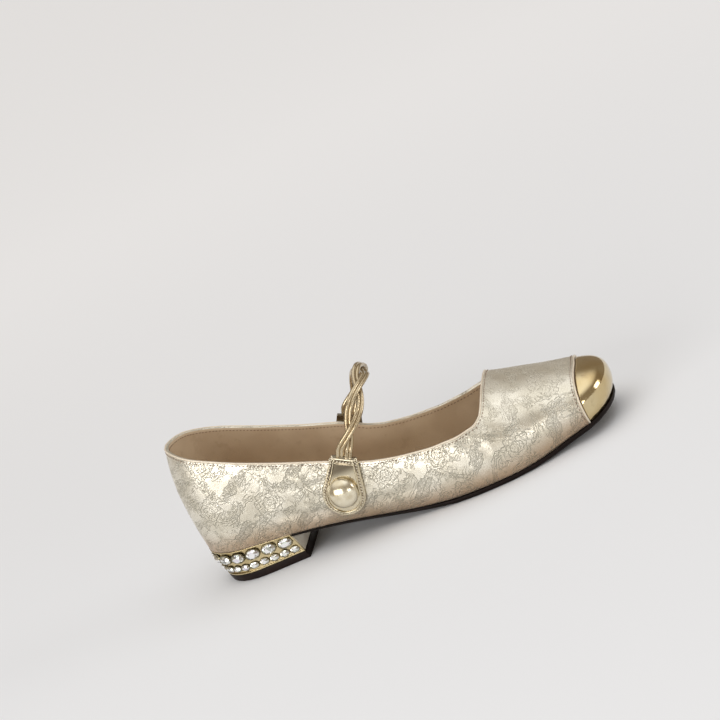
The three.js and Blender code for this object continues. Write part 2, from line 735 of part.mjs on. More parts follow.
// The tabs: middle of the round end along and above the shoe, its radius, and the reach from there to the
// top edge.
const LEAN = THREE.MathUtils.degToRad(TAB_LEAN);
const TABS = {
  [LATERAL]: { x: TAB_ALONG, z: TAB_HEIGHT, radius: TAB_WIDTH / 2, reach: TAB_REACH },
  [MEDIAL]: {
    x: TAB_ALONG,
    z: TAB_HEIGHT + INNER_TAB_RAISE,
    radius: INNER_TAB_WIDTH / 2,
    reach: INNER_TAB_REACH,
  },
};
const tabPlace = (side, u, v) => {
  const tab = TABS[side];
  const x = tab.x + u * Math.cos(LEAN) + v * Math.sin(LEAN);
  const z = tab.z - u * Math.sin(LEAN) + v * Math.cos(LEAN);
  return [side, x, z];
};
const tabNormal = (side, u, v) => sideNormal(...tabPlace(side, u, v));
const tabPoint = (side, u, v, out) => {
  return sidePoint(...tabPlace(side, u, v)).addScaledVector(tabNormal(side, u, v), out);
};

const TAB_TOP_THICKNESS = Math.max(TAB_THICKNESS, CORD_DIAMETER + 2 * TAB_COVER);
function tabGeometry(side) {
  const { radius, reach } = TABS[side];
  const half = 2 * CORD_DIAMETER + TAB_MARGIN;
  const turn = Math.asin(THREE.MathUtils.clamp((radius - half) / reach, -1, 1));
  const shape = new THREE.Path();
  shape.moveTo(-half, reach);
  shape.lineTo(-radius * Math.cos(turn), radius * Math.sin(turn));
  shape.absarc(0, 0, radius, Math.PI - turn, 2 * Math.PI + turn, false);
  shape.lineTo(half, reach);
  shape.lineTo(-half, reach);
  const edge = shape.getSpacedPoints(36);
  const face = side === LATERAL ? BUTTON_DIAMETER / 2 : 0;
  const middle = tabPoint(side, 0, BUTTON_RAISE, FIT_GAP + TAB_THICKNESS);
  const out = tabNormal(side, 0, BUTTON_RAISE);
  const outer = (u, v) => {
    const flare = THREE.MathUtils.smoothstep(v, reach - TAB_FLARE, reach);
    const p = tabPoint(side, u, v, FIT_GAP + THREE.MathUtils.lerp(TAB_THICKNESS, TAB_TOP_THICKNESS, flare));
    const normal = tabNormal(side, u, v);
    const short = middle.clone().sub(p).dot(out) / Math.max(0.5, out.dot(normal));
    const held = 1 - THREE.MathUtils.smoothstep(Math.hypot(u, v - BUTTON_RAISE), face, face + TAB_DISH);
    return p.addScaledVector(normal, Math.max(0, short) * held);
  };
  const rings = [0, 0.4, 0.75, 0.93, 1];
  const grid = (at) => edge.map((e) => rings.map((r) => at(e.x * r, e.y * r)));
  const front = grid(outer);
  const back = grid((u, v) => tabPoint(side, u, v, FIT_GAP));
  front.forEach((column, i) => column[4].lerp(back[i][4], TAB_BEVEL));
  const rim = front.map((column, i) => [column[4], back[i][4]]);
  return solid(gridFaces(front), gridFaces(back, true), gridFaces(rim));
}

// Half a pearl on the tab's flat middle.
function buttonGeometry() {
  const radius = BUTTON_DIAMETER / 2;
  const profile = [[0, 0], [radius * 0.82, 0]];
  for (let i = 0; i <= 7; i++) {
    const a = (Math.PI / 2) * (i / 7);
    profile.push([radius * Math.cos(a), BUTTON_RIM + (BUTTON_HEIGHT - BUTTON_RIM) * Math.sin(a)]);
  }
  const rings = profile.map(([r, z]) =>
    Array.from({ length: 25 }, (_, i) => {
      const a = ((i % 24) * Math.PI) / 12;
      return new THREE.Vector3(r * Math.cos(a), r * Math.sin(a), z);
    }),
  );
  rings[rings.length - 1].fill(new THREE.Vector3(0, 0, BUTTON_HEIGHT));
  const out = tabNormal(LATERAL, 0, BUTTON_RAISE);
  const base = tabPoint(LATERAL, 0, BUTTON_RAISE, 2 * FIT_GAP + TAB_THICKNESS);
  const along = new THREE.Vector3(1, 0, 0).addScaledVector(out, -out.x).normalize();
  return solid(gridFaces(rings)).applyMatrix4(frameAt(base, along, out));
}

// The strap's middle line over the instep. across runs between the tabs' tops, and height is a share of the
// strap's rise.
const ARCH = table(
  ["across", "height"],
  [0, 0],
  [0, 0.06],
  [0, 0.25],
  [0.015, 0.47],
  [0.075, 0.68],
  [0.2, 0.88],
  [0.38, 0.985],
  [0.52, 1],
  [0.68, 0.97],
  [0.84, 0.85],
  [0.94, 0.66],
  [0.985, 0.47],
  [1, 0.25],
  [1, 0.06],
  [1, 0],
);
function makeStrap() {
  const mount = (side, beyond) => {
    return tabPoint(side, 0, TABS[side].reach + beyond, FIT_GAP + TAB_TOP_THICKNESS / 2);
  };
  const [start, end] = [mount(LATERAL, STRAP_GAP), mount(MEDIAL, STRAP_GAP)];
  const across = end.clone().sub(start);
  const lean = THREE.MathUtils.degToRad(STRAP_LEAN);
  const up = new THREE.Vector3(Math.sin(lean), 0, Math.cos(lean));
  const line = ARCH.map((row) => {
    return start.clone().addScaledVector(across, row.across).addScaledVector(up, row.height * STRAP_RISE);
  });
  line[1].copy(mount(LATERAL, STRAP_GAP + CORD_DIAMETER));
  line[line.length - 2].copy(mount(MEDIAL, STRAP_GAP + CORD_DIAMETER));
  const curve = new THREE.CatmullRomCurve3(line, false, "centripetal");
  curve.arcLengthDivisions = 400;
  return { curve, flat: across.clone().cross(up).normalize() };
}

// A strand is a pair of cords side by side; the two strands wind round each other. Seen from the outer
// side, the strand in front runs down towards the heel.
const STRAP_STEPS = 50;
const LOBE = [-110, -55, 0, 55, 110].map((degrees) => THREE.MathUtils.degToRad(degrees));
function strandGeometry(sign) {
  const { curve, flat } = makeStrap();
  const radius = CORD_DIAMETER / 2;
  const narrow = 2 * radius + FIT_GAP / 2;
  const depth = radius + FIT_GAP / 2;
  const middle = curve.getPointAt(0).lerp(curve.getPointAt(1), 0.5);
  const centres = [];
  const outs = [];
  for (let i = 0; i <= STRAP_STEPS; i++) {
    const t = i / STRAP_STEPS;
    const tangent = curve.getTangentAt(t);
    const out = new THREE.Vector3().crossVectors(flat, tangent).normalize();
    if (out.dot(curve.getPointAt(t).sub(middle)) < 0) out.negate();
    const turn = Math.PI * STRAP_TURNS * t;
    const wide = narrow + STRAP_OPEN * THREE.MathUtils.smoothstep(Math.min(t, 1 - t), 0, STRAP_EASE);
    const over = Math.sin(THREE.MathUtils.clamp(Math.sin(turn) / CROSSING, -1, 1) * (Math.PI / 2));
    const p = curve.getPointAt(t).addScaledVector(flat, sign * wide * Math.cos(turn));
    centres.push(p.addScaledVector(out, -sign * depth * over));
    outs.push(out);
  }
  const rings = centres.map((p, i) => {
    const a = centres[Math.max(0, i - 1)];
    const b = centres[Math.min(STRAP_STEPS, i + 1)];
    const tangent = b.clone().sub(a).normalize();
    const wide = new THREE.Vector3().crossVectors(outs[i], tangent).normalize();
    const out = new THREE.Vector3().crossVectors(tangent, wide);
    return [1, -1].flatMap((lobe) =>
      LOBE.map((a) =>
        p
          .clone()
          .addScaledVector(wide, lobe * radius * (CORD_CLOSENESS + Math.cos(a)))
          .addScaledVector(out, lobe * radius * Math.sin(a)),
      ),
    );
  });
  const cap = (ring, flip) => gridFaces([ring.slice(0, 5), [9, 8, 7, 6, 5].map((k) => ring[k])], flip);
  return solid(
    gridFaces(rings.map((ring) => [...ring, ring[0]])),
    cap(rings[0], true),
    cap(rings[STRAP_STEPS], false),
  );
}

function material(color, roughness, metalness) {
  return new THREE.MeshStandardMaterial({ color, roughness, metalness });
}
const BROCADE = material(0xd8cfb8, 0.45, 0.25);
const GOLD = material(0xb9a06a, 0.3, 0.6);
const CORD = material(0xb7a27c, 0.35, 0.5);
const SOLE_RUBBER = material(0x1c1412, 0.6, 0);
const LIFT_RUBBER = material(0x2c1c18, 0.5, 0);
const LINING = material(0xd9c6a0, 0.7, 0);
const BREAST = material(0xd5c8ac, 0.5, 0.1);
const PLATE = material(0xc9b27c, 0.25, 0.85);
const STONE = material(0xeef2f6, 0.05, 0.1);
const PEARL = material(0xe9e0cc, 0.2, 0.1);

const shoe = new THREE.Group();
function piece(name, geometry, finish) {
  const mesh = new THREE.Mesh(geometry, finish.clone());
  mesh.name = name;
  shoe.add(mesh);
  return mesh;
}

piece("outsole", outsoleGeometry(), SOLE_RUBBER);
piece("insole", insoleGeometry(), LINING);
piece("upper", upperGeometry(), BROCADE);
piece("toe_cap", capGeometry(), GOLD);
piece("top_lift", liftGeometry(), LIFT_RUBBER);
piece("heel_block", blockGeometry(), BREAST);
piece("heel_plate", plateGeometry(), PLATE);
STONE_ROWS.forEach(addStones);
piece("button_tab", tabGeometry(LATERAL), GOLD);
piece("inner_tab", tabGeometry(MEDIAL), GOLD);
piece("button", buttonGeometry(), PEARL);
piece("strap_strand_a", strandGeometry(1), CORD);
piece("strap_strand_b", strandGeometry(-1), CORD);

// The origin is the middle of the whole shoe's box, on the floor.
const box = new THREE.Box3().setFromObject(shoe);
const middle = box.getCenter(new THREE.Vector3());
shoe.position.set(-middle.x, -middle.y, -box.min.z);

export default shoe;
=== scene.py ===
# %% [markdown]
# # A low-heeled Mary Jane in brocade
# The shoe has an upper of satin brocade, a metallic leather toe cap, a twisted strap that ends in a
# stitched tab with a pearl button, and a low heel with a plate of cut stones. Its solids come from the
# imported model. Each one is dressed here: a copy of the solid keeps the true shape of the last, and
# bmesh operators add what a maker adds, such as folded edges, stitches, puckers and settings.

# %% Load the shoe's solids
import math
import random

import bmesh
import bpy
import numpy as np
from mathutils import Matrix, Vector
from mathutils.bvhtree import BVHTree


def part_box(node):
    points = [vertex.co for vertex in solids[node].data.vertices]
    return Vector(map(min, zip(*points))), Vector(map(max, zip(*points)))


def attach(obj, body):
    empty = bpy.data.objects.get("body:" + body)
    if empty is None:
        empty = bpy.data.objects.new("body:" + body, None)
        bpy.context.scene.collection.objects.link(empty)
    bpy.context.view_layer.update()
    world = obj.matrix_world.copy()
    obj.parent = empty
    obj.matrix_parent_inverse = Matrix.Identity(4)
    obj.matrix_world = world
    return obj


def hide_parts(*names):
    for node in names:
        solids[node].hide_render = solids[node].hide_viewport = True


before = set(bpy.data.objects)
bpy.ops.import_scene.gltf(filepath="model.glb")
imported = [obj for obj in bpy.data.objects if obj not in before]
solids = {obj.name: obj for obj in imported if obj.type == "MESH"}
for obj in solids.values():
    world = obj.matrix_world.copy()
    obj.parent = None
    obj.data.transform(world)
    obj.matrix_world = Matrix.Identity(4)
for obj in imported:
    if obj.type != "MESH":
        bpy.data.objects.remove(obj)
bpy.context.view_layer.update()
MM = 0.001

# %% [markdown]
# The photograph looks at the outer side of the shoe from a little in front and above, with the camera
# rolled so that the toe points up to the right. A long lens from a metre away keeps heel and toe at
# nearly the same scale. The camera is built from those plain facts: the direction that it looks from,
# the roll, the distance and the point that falls in the middle of the picture.

# %% Camera
LOOK_AT = Vector((0.0009, 0.0147, 0.0795))
TURN, RISE, ROLL = math.radians(15.12), math.radians(15.31), math.radians(27.87)
DISTANCE = 1.1
LENS = 100.6

back = Vector((math.sin(TURN) * math.cos(RISE), -math.cos(TURN) * math.cos(RISE), math.sin(RISE)))
roll = Matrix.Rotation(-ROLL, 3, "Z").to_quaternion()
camera = bpy.data.objects.new("camera", bpy.data.cameras.new("camera"))
camera.data.lens = LENS
camera.data.sensor_width = 36
camera.location = LOOK_AT + back * DISTANCE
camera.rotation_euler = (back.to_track_quat("Z", "Y") @ roll).to_euler()
bpy.context.scene.collection.objects.link(camera)
bpy.context.scene.camera = camera
print("camera at", [round(v, 3) for v in camera.location])

# %% [markdown]
# A studio shot of this kind is lit by large soft boxes. A wide one stands beside the camera and gives the
# satin its long highlight, one in front of the toe lights the cap, and a low one reaches the heel breast
# and the side of the vamp. Area lights stand for them: their size decides how soft the shadow is, and how
# large the bright patch that metal mirrors.

# %% Soft boxes
SOFT_BOXES = (
    # name, place and target in metres, width and height, watts
    ("side_box", (-0.68, -1.15, 0.36), (0.0, 0, 0.03), (1.1, 0.5), 8.4),
    ("toe_box", (1.15, 0.0, 0.27), (0.1, 0, 0.02), (0.4, 0.36), 2.5),
    ("low_box", (0.7, -1.05, 0.12), (-0.06, 0, 0.02), (0.45, 0.16), 1.5),
)

for name, place, target, size, watts in SOFT_BOXES:
    lamp = bpy.data.objects.new(name, bpy.data.lights.new(name, "AREA"))
    lamp.data.shape = "RECTANGLE"
    lamp.data.size, lamp.data.size_y = size
    lamp.data.energy = watts
    lamp.location = place
    lamp.rotation_euler = (Vector(place) - Vector(target)).to_track_quat("Z", "Y").to_euler()
    bpy.context.scene.collection.objects.link(lamp)
print(len(SOFT_BOXES), "soft boxes")

# %% [markdown]
# The rest of the light comes from a white ceiling. The walls are darker, so faces that look up and away
# from the camera turn a deeper gold, as the top of the vamp does. Blender's world is a colour for every
# direction, and here it steps from wall to ceiling with the height of that direction.

# %% Ceiling and walls
WALL, CEILING = (0.2, 0.165, 0.125, 1), (1, 1, 1, 1)
WALL_ENDS, CEILING_STARTS = 0.5, 0.92
ROOM_STRENGTH = 1.35

bpy.context.scene.view_settings.view_transform = "Standard"
world = bpy.data.worlds.new("studio")
bpy.context.scene.world = world
world.use_nodes = True
nodes, links = world.node_tree.nodes, world.node_tree.links
direction = nodes.new("ShaderNodeTexCoord")
split = nodes.new("ShaderNodeSeparateXYZ")
rise = nodes.new("ShaderNodeMapRange")
rise.interpolation_type = "SMOOTHSTEP"
rise.inputs["From Min"].default_value = WALL_ENDS
rise.inputs["From Max"].default_value = CEILING_STARTS
walls = nodes.new("ShaderNodeMix")
walls.data_type = "RGBA"
walls.inputs[6].default_value = WALL
walls.inputs[7].default_value = CEILING
links.new(direction.outputs["Generated"], split.inputs[0])
links.new(split.outputs["Z"], rise.inputs["Value"])
links.new(rise.outputs["Result"], walls.inputs["Factor"])
links.new(walls.outputs[2], nodes["Background"].inputs["Color"])
nodes["Background"].inputs["Strength"].default_value = ROOM_STRENGTH
print("world:", len(nodes), "nodes")

# %% [markdown]
# Every finish is a small tree of nodes round one Principled shader. Writing sums with nodes is wordy, so
# a Wire stands for a number that flows through the tree and understands plain arithmetic: `a * 2 + b`
# adds the two Math nodes and joins them.

# %% Arithmetic with nodes
class Wire:
    def __init__(self, tree, socket):
        self.tree, self.socket = tree, socket

    def op(self, operation, *others):
        node = self.tree.nodes.new("ShaderNodeMath")
        node.operation = operation
        for slot, value in zip(node.inputs, (self, *others)):
            if isinstance(value, Wire):
                self.tree.links.new(value.socket, slot)
            else:
                slot.default_value = value
        return Wire(self.tree, node.outputs[0])

    def __add__(self, other):
        return self.op("ADD", other)

    def __sub__(self, other):
        return self.op("SUBTRACT", other)

    def __mul__(self, other):
        return self.op("MULTIPLY", other)

    def __truediv__(self, other):
        return self.op("DIVIDE", other)

    def __neg__(self):
        return self.op("MULTIPLY", -1.0)

    def abs(self):
        return self.op("ABSOLUTE")

    def sin(self):
        return self.op("SINE")

    def cos(self):
        return self.op("COSINE")

    def __pow__(self, power):
        return self.op("POWER", power)

    def between(self, low, high):
        """0 up to low and 1 from high on, with a soft step between, or the reverse if low is the larger."""
        node = self.tree.nodes.new("ShaderNodeMapRange")
        node.interpolation_type = "SMOOTHSTEP"
        self.tree.links.new(self.socket, node.inputs["Value"])
        for name, value in (("From Min", min(low, high)), ("From Max", max(low, high))):
            node.inputs[name].default_value = value
        node.inputs["To Min"].default_value = float(low > high)
        node.inputs["To Max"].default_value = float(low < high)
        return Wire(self.tree, node.outputs["Result"])

    def line(self, width, soft=0.12):
        """1 where the value is within half a width of 0, for drawing a line along the zeros of a formula."""
        return self.abs().between(width / 2 + soft, max(width / 2 - soft, 0))

    def repeat(self, period):
        """The value, wrapped into the range of plus or minus half a period."""
        return self.op("WRAP", period / 2, -period / 2)

    def most(self, other):
        return self.op("MAXIMUM", other)


print("wires carry sums through a material")

# %% [markdown]
# A Finish is a material with a short way to write its tree. Patterns need a place to read from: the
# object's own axes for leather and metal, whose grain has no direction, or the flat cloth for brocade.
# Both are turned into millimetres, so that every size below can be checked against a ruler.

# %% A material in millimetres
class Finish:
    """A material whose sockets are set by name. Numbers and colours go on the shader itself."""

    def __init__(self, name, **sockets):
        self.material = bpy.data.materials.new(name)
        self.material.use_nodes = True
        self.tree = self.material.node_tree
        self.shader = self.tree.nodes["Principled BSDF"]
        for key, value in sockets.items():
            self.shader.inputs[key.replace("_", " ")].default_value = value

    def place(self, source="Object", scale=1000.0):
        """x, y and z of the surface in millimetres, on the object's own axes or its UV map."""
        coordinates = self.tree.nodes.new("ShaderNodeTexCoord")
        mapping = self.tree.nodes.new("ShaderNodeMapping")
        mapping.inputs["Scale"].default_value = (scale,) * 3
        self.tree.links.new(coordinates.outputs[source], mapping.inputs["Vector"])
        self.vector = mapping.outputs["Vector"]
        split = self.tree.nodes.new("ShaderNodeSeparateXYZ")
        self.tree.links.new(self.vector, split.inputs[0])
        return [Wire(self.tree, out) for out in split.outputs]

    def vector_of(self, x, y):
        node = self.tree.nodes.new("ShaderNodeCombineXYZ")
        for slot, wire in zip(node.inputs, (x, y)):
            self.tree.links.new(wire.socket, slot)
        return node.outputs[0]

    def noise(self, size, detail=2.0, vector=None, stretch=None):
        """Noise whose features are about size millimetres, from 0 to 1 round 0.5."""
        node = self.tree.nodes.new("ShaderNodeTexNoise")
        node.inputs["Scale"].default_value = 1 / size
        node.inputs["Detail"].default_value = detail
        source = vector or self.vector
        if stretch:
            mapping = self.tree.nodes.new("ShaderNodeMapping")
            mapping.inputs["Scale"].default_value = stretch
            self.tree.links.new(source, mapping.inputs["Vector"])
            source = mapping.outputs["Vector"]
        self.tree.links.new(source, node.inputs["Vector"])
        return Wire(self.tree, node.outputs["Fac"])

    def cells(self, size, vector=None):
        node = self.tree.nodes.new("ShaderNodeTexVoronoi")
        node.inputs["Scale"].default_value = 1 / size
        self.tree.links.new(vector or self.vector, node.inputs["Vector"])
        return Wire(self.tree, node.outputs["Distance"])

    def attribute(self, name):
        node = self.tree.nodes.new("ShaderNodeAttribute")
        node.attribute_name = name
        return Wire(self.tree, node.outputs["Fac"])

    def blend(self, amount, first, second):
        """A colour between two others, each a colour or the output of another blend."""
        node = self.tree.nodes.new("ShaderNodeMix")
        node.data_type = "RGBA"
        self.tree.links.new(amount.socket, node.inputs["Factor"])
        for slot, value in ((node.inputs[6], first), (node.inputs[7], second)):
            if isinstance(value, bpy.types.NodeSocket):
                self.tree.links.new(value, slot)
            else:
                slot.default_value = (*value, 1)
        return node.outputs[2]

    def set(self, name, value):
        socket = value.socket if isinstance(value, Wire) else value
        self.tree.links.new(socket, self.shader.inputs[name])

    def relief(self, height, depth, before=None):
        """A bump whose height of 1 is depth millimetres."""
        node = self.tree.nodes.new("ShaderNodeBump")
        node.inputs["Distance"].default_value = depth * MM
        node.inputs["Strength"].default_value = 1.0
        self.tree.links.new(height.socket, node.inputs["Height"])
        if before:
            self.tree.links.new(before, node.inputs["Normal"])
        self.tree.links.new(node.outputs["Normal"], self.shader.inputs["Normal"])
        return node.outputs["Normal"]


# %% [markdown]
# A pale sheet of paper is the floor. It is one large flat grid, a little lighter far away, where less of
# the light arrives, so the picture's background stays even.

# %% Paper floor
bm = bmesh.new()
bmesh.ops.create_grid(bm, x_segments=2, y_segments=2, size=12)
floor = bpy.data.objects.new("floor", bpy.data.meshes.new("floor"))
bm.to_mesh(floor.data)
bm.free()
bpy.context.scene.collection.objects.link(floor)

paper = Finish("paper", Roughness=0.9)
away = paper.place("Object", 1.0)[1].between(-0.3, 1.4)
paper.set("Base Color", paper.blend(away, (0.80, 0.81, 0.83), (0.98, 0.985, 1.0)))
floor.data.materials.append(paper.material)
print("paper floor of", [round(v) for v in floor.dimensions[:2]], "metres")

# %% [markdown]
# The solids arrive as loose triangles. A copy of one is welded, and pairs of triangles that are nearly
# flat are joined into the quads that a subdivision surface likes. Where two faces meet at a sharp angle
# the solid has a real edge. Such edges part the outer face of a piece from its lining and its rims, so
# the top line, the cap seam and the feather line all come from the shoe itself.

# %% Copies of the solids
def copy_of(name, join=60):
    bm = bmesh.new()
    bm.from_mesh(solids[name].data)
    bm.edges.layers.float.new("crease_edge")
    bmesh.ops.remove_doubles(bm, verts=bm.verts, dist=2e-6)
    bmesh.ops.join_triangles(
        bm, faces=bm.faces, angle_face_threshold=math.radians(join), angle_shape_threshold=math.pi
    )
    return bm


def sharp_edges(bm, angle):
    return [e for e in bm.edges if len(e.link_faces) == 2 and e.calc_face_angle(0) > math.radians(angle)]


def regions(bm, borders):
    """Groups of faces that the border edges keep apart, largest first."""
    borders, left, groups = set(borders), set(bm.faces), []
    while left:
        face = left.pop()
        group, front = {face}, [face]
        while front:
            for e in front.pop().edges:
                if e in borders:
                    continue
                for f in e.link_faces:
                    if f in left:
                        left.remove(f)
                        group.add(f)
                        front.append(f)
        groups.append(group)
    return sorted(groups, key=lambda g: -sum(f.calc_area() for f in g))


print(len(solids), "solids to copy from")

# %% [markdown]
# A chain of edges has to be put in order before anything can be laid along it, and its points stand as
# far apart as the solid's faces happen to be. So the chain is strung into a path, and new points are set
# on it at equal steps, each with the direction of the path there.

# %% Paths along edges
def strung(edges):
    """The points of a chain of edges in order, and whether the chain is closed."""
    links = {}
    for e in edges:
        for v in e.verts:
            links.setdefault(v, []).append(e.other_vert(v))
    ends = [v for v in links if len(links[v]) == 1]
    closed = not ends
    v = min(ends or links, key=lambda v: (round(v.co.x, 5), v.co.y))
    path, seen = [v.co.copy()], {v}
    while True:
        following = [w for w in links[v] if w not in seen]
        if not following:
            return path, closed
        v = following[0]
        seen.add(v)
        path.append(v.co.copy())


def respaced(path, step, closed=False):
    """Points at equal steps along a path, and the direction of the path at each."""
    points = np.array(path + path[:1] if closed else path)
    lengths = np.concatenate([[0], np.cumsum(np.linalg.norm(np.diff(points, axis=0), axis=1))])
    count = max(2, round(lengths[-1] / step))
    at = np.arange(count + (not closed)) * lengths[-1] / count
    even = np.stack([np.interp(at, lengths, points[:, k]) for k in range(3)], 1)
    ahead, behind = np.roll(even, -1, 0), np.roll(even, 1, 0)
    if not closed:
        ahead[-1], behind[0] = even[-1], even[0]
    return [Vector(p) for p in even], [Vector(d).normalized() for d in ahead - behind]


print("paths are strung and respaced")

# %% [markdown]
# Every piece that is drawn ends the same way: the mesh gets its finishes, a smooth or a faceted look and
# perhaps a subdivision, it is tied to the shoe's one body, and it names the solids that it takes the place
# of.

# %% A finished piece
def piece(name, bm, finishes, replaces=(), smooth=True, levels=0):
    """An object from a bmesh, riding on the shoe, with its finish and the solids that it stands for."""
    mesh = bpy.data.meshes.new(name)
    bm.to_mesh(mesh)
    bm.free()
    for finish in finishes:
        mesh.materials.append(finish.material)
    mesh.polygons.foreach_set("use_smooth", [smooth] * len(mesh.polygons))
    made = bpy.data.objects.new(name, mesh)
    bpy.context.scene.collection.objects.link(made)
    if levels:
        modifier = made.modifiers.new("subdivision", "SUBSURF")
        modifier.levels = modifier.render_levels = levels
    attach(made, "root")
    if replaces:
        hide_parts(*replaces)
    print(f"{name}: {len(mesh.polygons)} faces before subdivision")
    return made


# %% [markdown]
# An edge of a solid is where the maker folds, binds or sews. This walks along one and notes, at equal
# steps, the point, the way along, the way out of the leather and the way in from the edge. The last two
# are known at the solid's own points only, so a step takes a mean of them all, where near ones weigh most.

# %% Walks along an edge
def walk(edges, faces, step):
    """Point, way along, way out and way in at each step, and whether the edge is closed."""
    path, closed = strung(edges)
    spots = {}
    for e in edges:
        for v in e.verts:
            near = [f for f in v.link_faces if f in faces]
            normal = sum((f.normal * f.calc_area() for f in near), Vector()).normalized()
            inward = sum((f.calc_center_median() for f in near), Vector()) / len(near) - v.co
            spots[tuple(v.co)] = normal, inward
    places, ways = respaced(path, step, closed)
    keys = [Vector(k) for k in spots]
    values = list(spots.values())
    found = []
    for p, way in zip(places, ways):
        weights = [1 / ((k - p).length + 1e-4) ** 3 for k in keys]
        normal = sum((n * w for (n, _), w in zip(values, weights)), Vector()).normalized()
        inward = sum((i.normalized() * w for (_, i), w in zip(values, weights)), Vector())
        across = way.cross(normal).normalized()
        found.append((p, way, normal, across if across.dot(inward) > 0 else -across))
    return found, closed


print("walks note four vectors at each step")

# %% [markdown]
# A stitch is a short thread that dips into the leather at both ends. Drawn as a stretched ball, half sunk,
# it looks the same from any side and needs few faces, which counts with hundreds of them. Each is turned
# to the surface that it sits on, and may slant as hand stitches do.

# %% Stitches
def surface_of(made):
    """What finds the nearest point of a finished piece's surface."""
    graph = bpy.context.evaluated_depsgraph_get()
    return BVHTree.FromObject(made, graph)


def sew(name, walked, surface, inset, finish, length=1.3, width=0.5, slant=6, sink=0.1):
    """A row of stitches at a distance in from an edge, one on each step of the walk."""
    bm = bmesh.new()
    for p, way, normal, inward in walked:
        seat, up, _, _ = surface.find_nearest(p + inward * inset * MM)
        if up.dot(normal) < 0:
            up = -up
        along = (way - up * way.dot(up)).normalized()
        turn = Matrix.Rotation(math.radians(slant), 3, up)
        axes = Matrix((turn @ along, turn @ up.cross(along), up)).transposed().to_4x4()
        place = Matrix.Translation(seat + up * (width / 2.4 - sink) * MM)
        matrix = place @ axes @ Matrix.Diagonal((length * MM / 2, width * MM / 2, width * MM / 2.4, 1))
        bmesh.ops.create_uvsphere(bm, u_segments=6, v_segments=4, radius=1, matrix=matrix)
    return piece(name, bm, [finish])


print("stitches are set on a surface")

# %% [markdown]
# A folded edge, a covered cord and a rolled strap are all one round section carried along a line. A curve
# with a bevel would do it too, but here the walk already says which way is out, so the section never
# twists, and it can be flattened, sunk or moved in from the edge.

# %% Rolled edges and cords
def bead(name, walked, closed, radius, finish, inset=0.0, lift=0.0, flat=1.0, sides=8):
    """A rolled edge: a ring of points carried along a walk and extruded at each step."""
    bm = bmesh.new()
    ring = bmesh.ops.create_circle(bm, segments=sides, radius=radius * MM)["verts"]
    edges = first = list({e for v in ring for e in v.link_edges})
    shape = [v.co.copy() for v in ring]
    for step, (p, way, normal, inward) in enumerate(walked):
        if step:
            made = bmesh.ops.extrude_edge_only(bm, edges=edges)["geom"]
            edges = [g for g in made if isinstance(g, bmesh.types.BMEdge)]
            moved = [g for g in made if isinstance(g, bmesh.types.BMVert)]
            fresh = {e.other_vert(v): v for v in moved for e in v.link_edges}
            ring = [fresh[v] for v in ring]
        axes = Matrix((inward, normal * flat, way)).transposed().to_4x4()
        place = Matrix.Translation(p + (inward * inset + normal * lift) * MM) @ axes
        for v, co in zip(ring, shape):
            v.co = place @ co
    if closed:
        bmesh.ops.bridge_loops(bm, edges=first + edges)
    else:
        bmesh.ops.holes_fill(bm, edges=first + edges, sides=sides)
    bmesh.ops.recalc_face_normals(bm, faces=bm.faces)
    return piece(name, bm, [finish])


# %% [markdown]
# ## Brocade
# The upper is cut from satin brocade: a smooth champagne ground, on which flowers, veined leaves and
# winding lines are woven a little darker and lower. A picture of cloth could be laid on it, but then the
# figures would blur close up. Here the drawing is arithmetic on the flat cloth, in millimetres, which
# stays sharp at any distance. One tile holds a flower and, half a drop away, a leaf.
#
# The flower is written in polar form: every ring is a distance from the centre that swells and shrinks
# with the angle, and `line` draws a stroke where that sum is zero.

# %% The woven flower
def draw_flower(f, x, y, r):
    """A stippled heart, a scalloped ring, round petals and the ribs between them."""
    angle = y.op("ARCTAN2", x)
    heart = f.cells(0.8).between(0.42, 0.26) * r.between(3.6, 3.2)
    rings = (r - 3.8).line(0.4).most((r - (angle * 3.5).sin().abs() * 1.1 - 5.2).line(0.45))
    petals = (r - (angle * 4.0).cos().abs() * 1.6 - 7.4).line(0.45)
    ribs = ((angle * 12.0).sin() * r * 0.09).line(0.28) * r.between(6.2, 6.6) * r.between(8.6, 8.0)
    return heart.most(rings).most(petals).most(ribs * 0.7)


# %% [markdown]
# The leaf is a parabola mirrored about its midrib, which bends a little, and its side veins are a wave
# that leans back on both sides. The leaf also tells where it lies, so that other lines keep clear of it.

# %% The woven leaf
LEAF_LEAN = math.radians(28)
LEAF_REACH, LEAF_HALF = 10.4, 3.9


def draw_leaf(x, y):
    """The strokes of the leaf, its inside, and everything that lies clear of it."""
    a = x * math.cos(LEAF_LEAN) + y * math.sin(LEAF_LEAN)
    b = y * math.cos(LEAF_LEAN) - x * math.sin(LEAF_LEAN) - (a * 0.3).sin() * 1.3
    edge = b.abs() - ((a * a) * (-LEAF_HALF / 110.0) + LEAF_HALF)
    inside = edge.between(0.0, -0.5) * a.abs().between(LEAF_REACH, 10.0)
    outline = edge.line(0.45) * a.abs().between(11.0, 10.2)
    midrib = b.line(0.45) * a.abs().between(10.6, 10.0)
    veins = (((a - b.abs() * 1.2) * math.pi).sin() * 0.4).line(0.36) * inside
    clear = edge.between(0.6, 1.1).most(a.abs().between(10.8, 11.6))
    return outline.most(midrib).most(veins * 0.8), inside, clear


# %% [markdown]
# Between them run winding lines, side by side, and patches of cloud. The clouds are contour lines: a
# smooth noise is counted in steps, and a stroke is drawn at every step, as on a map of hills.

# %% Winding lines and clouds
TILE_LONG, TILE_WIDE = 38.0, 30.0


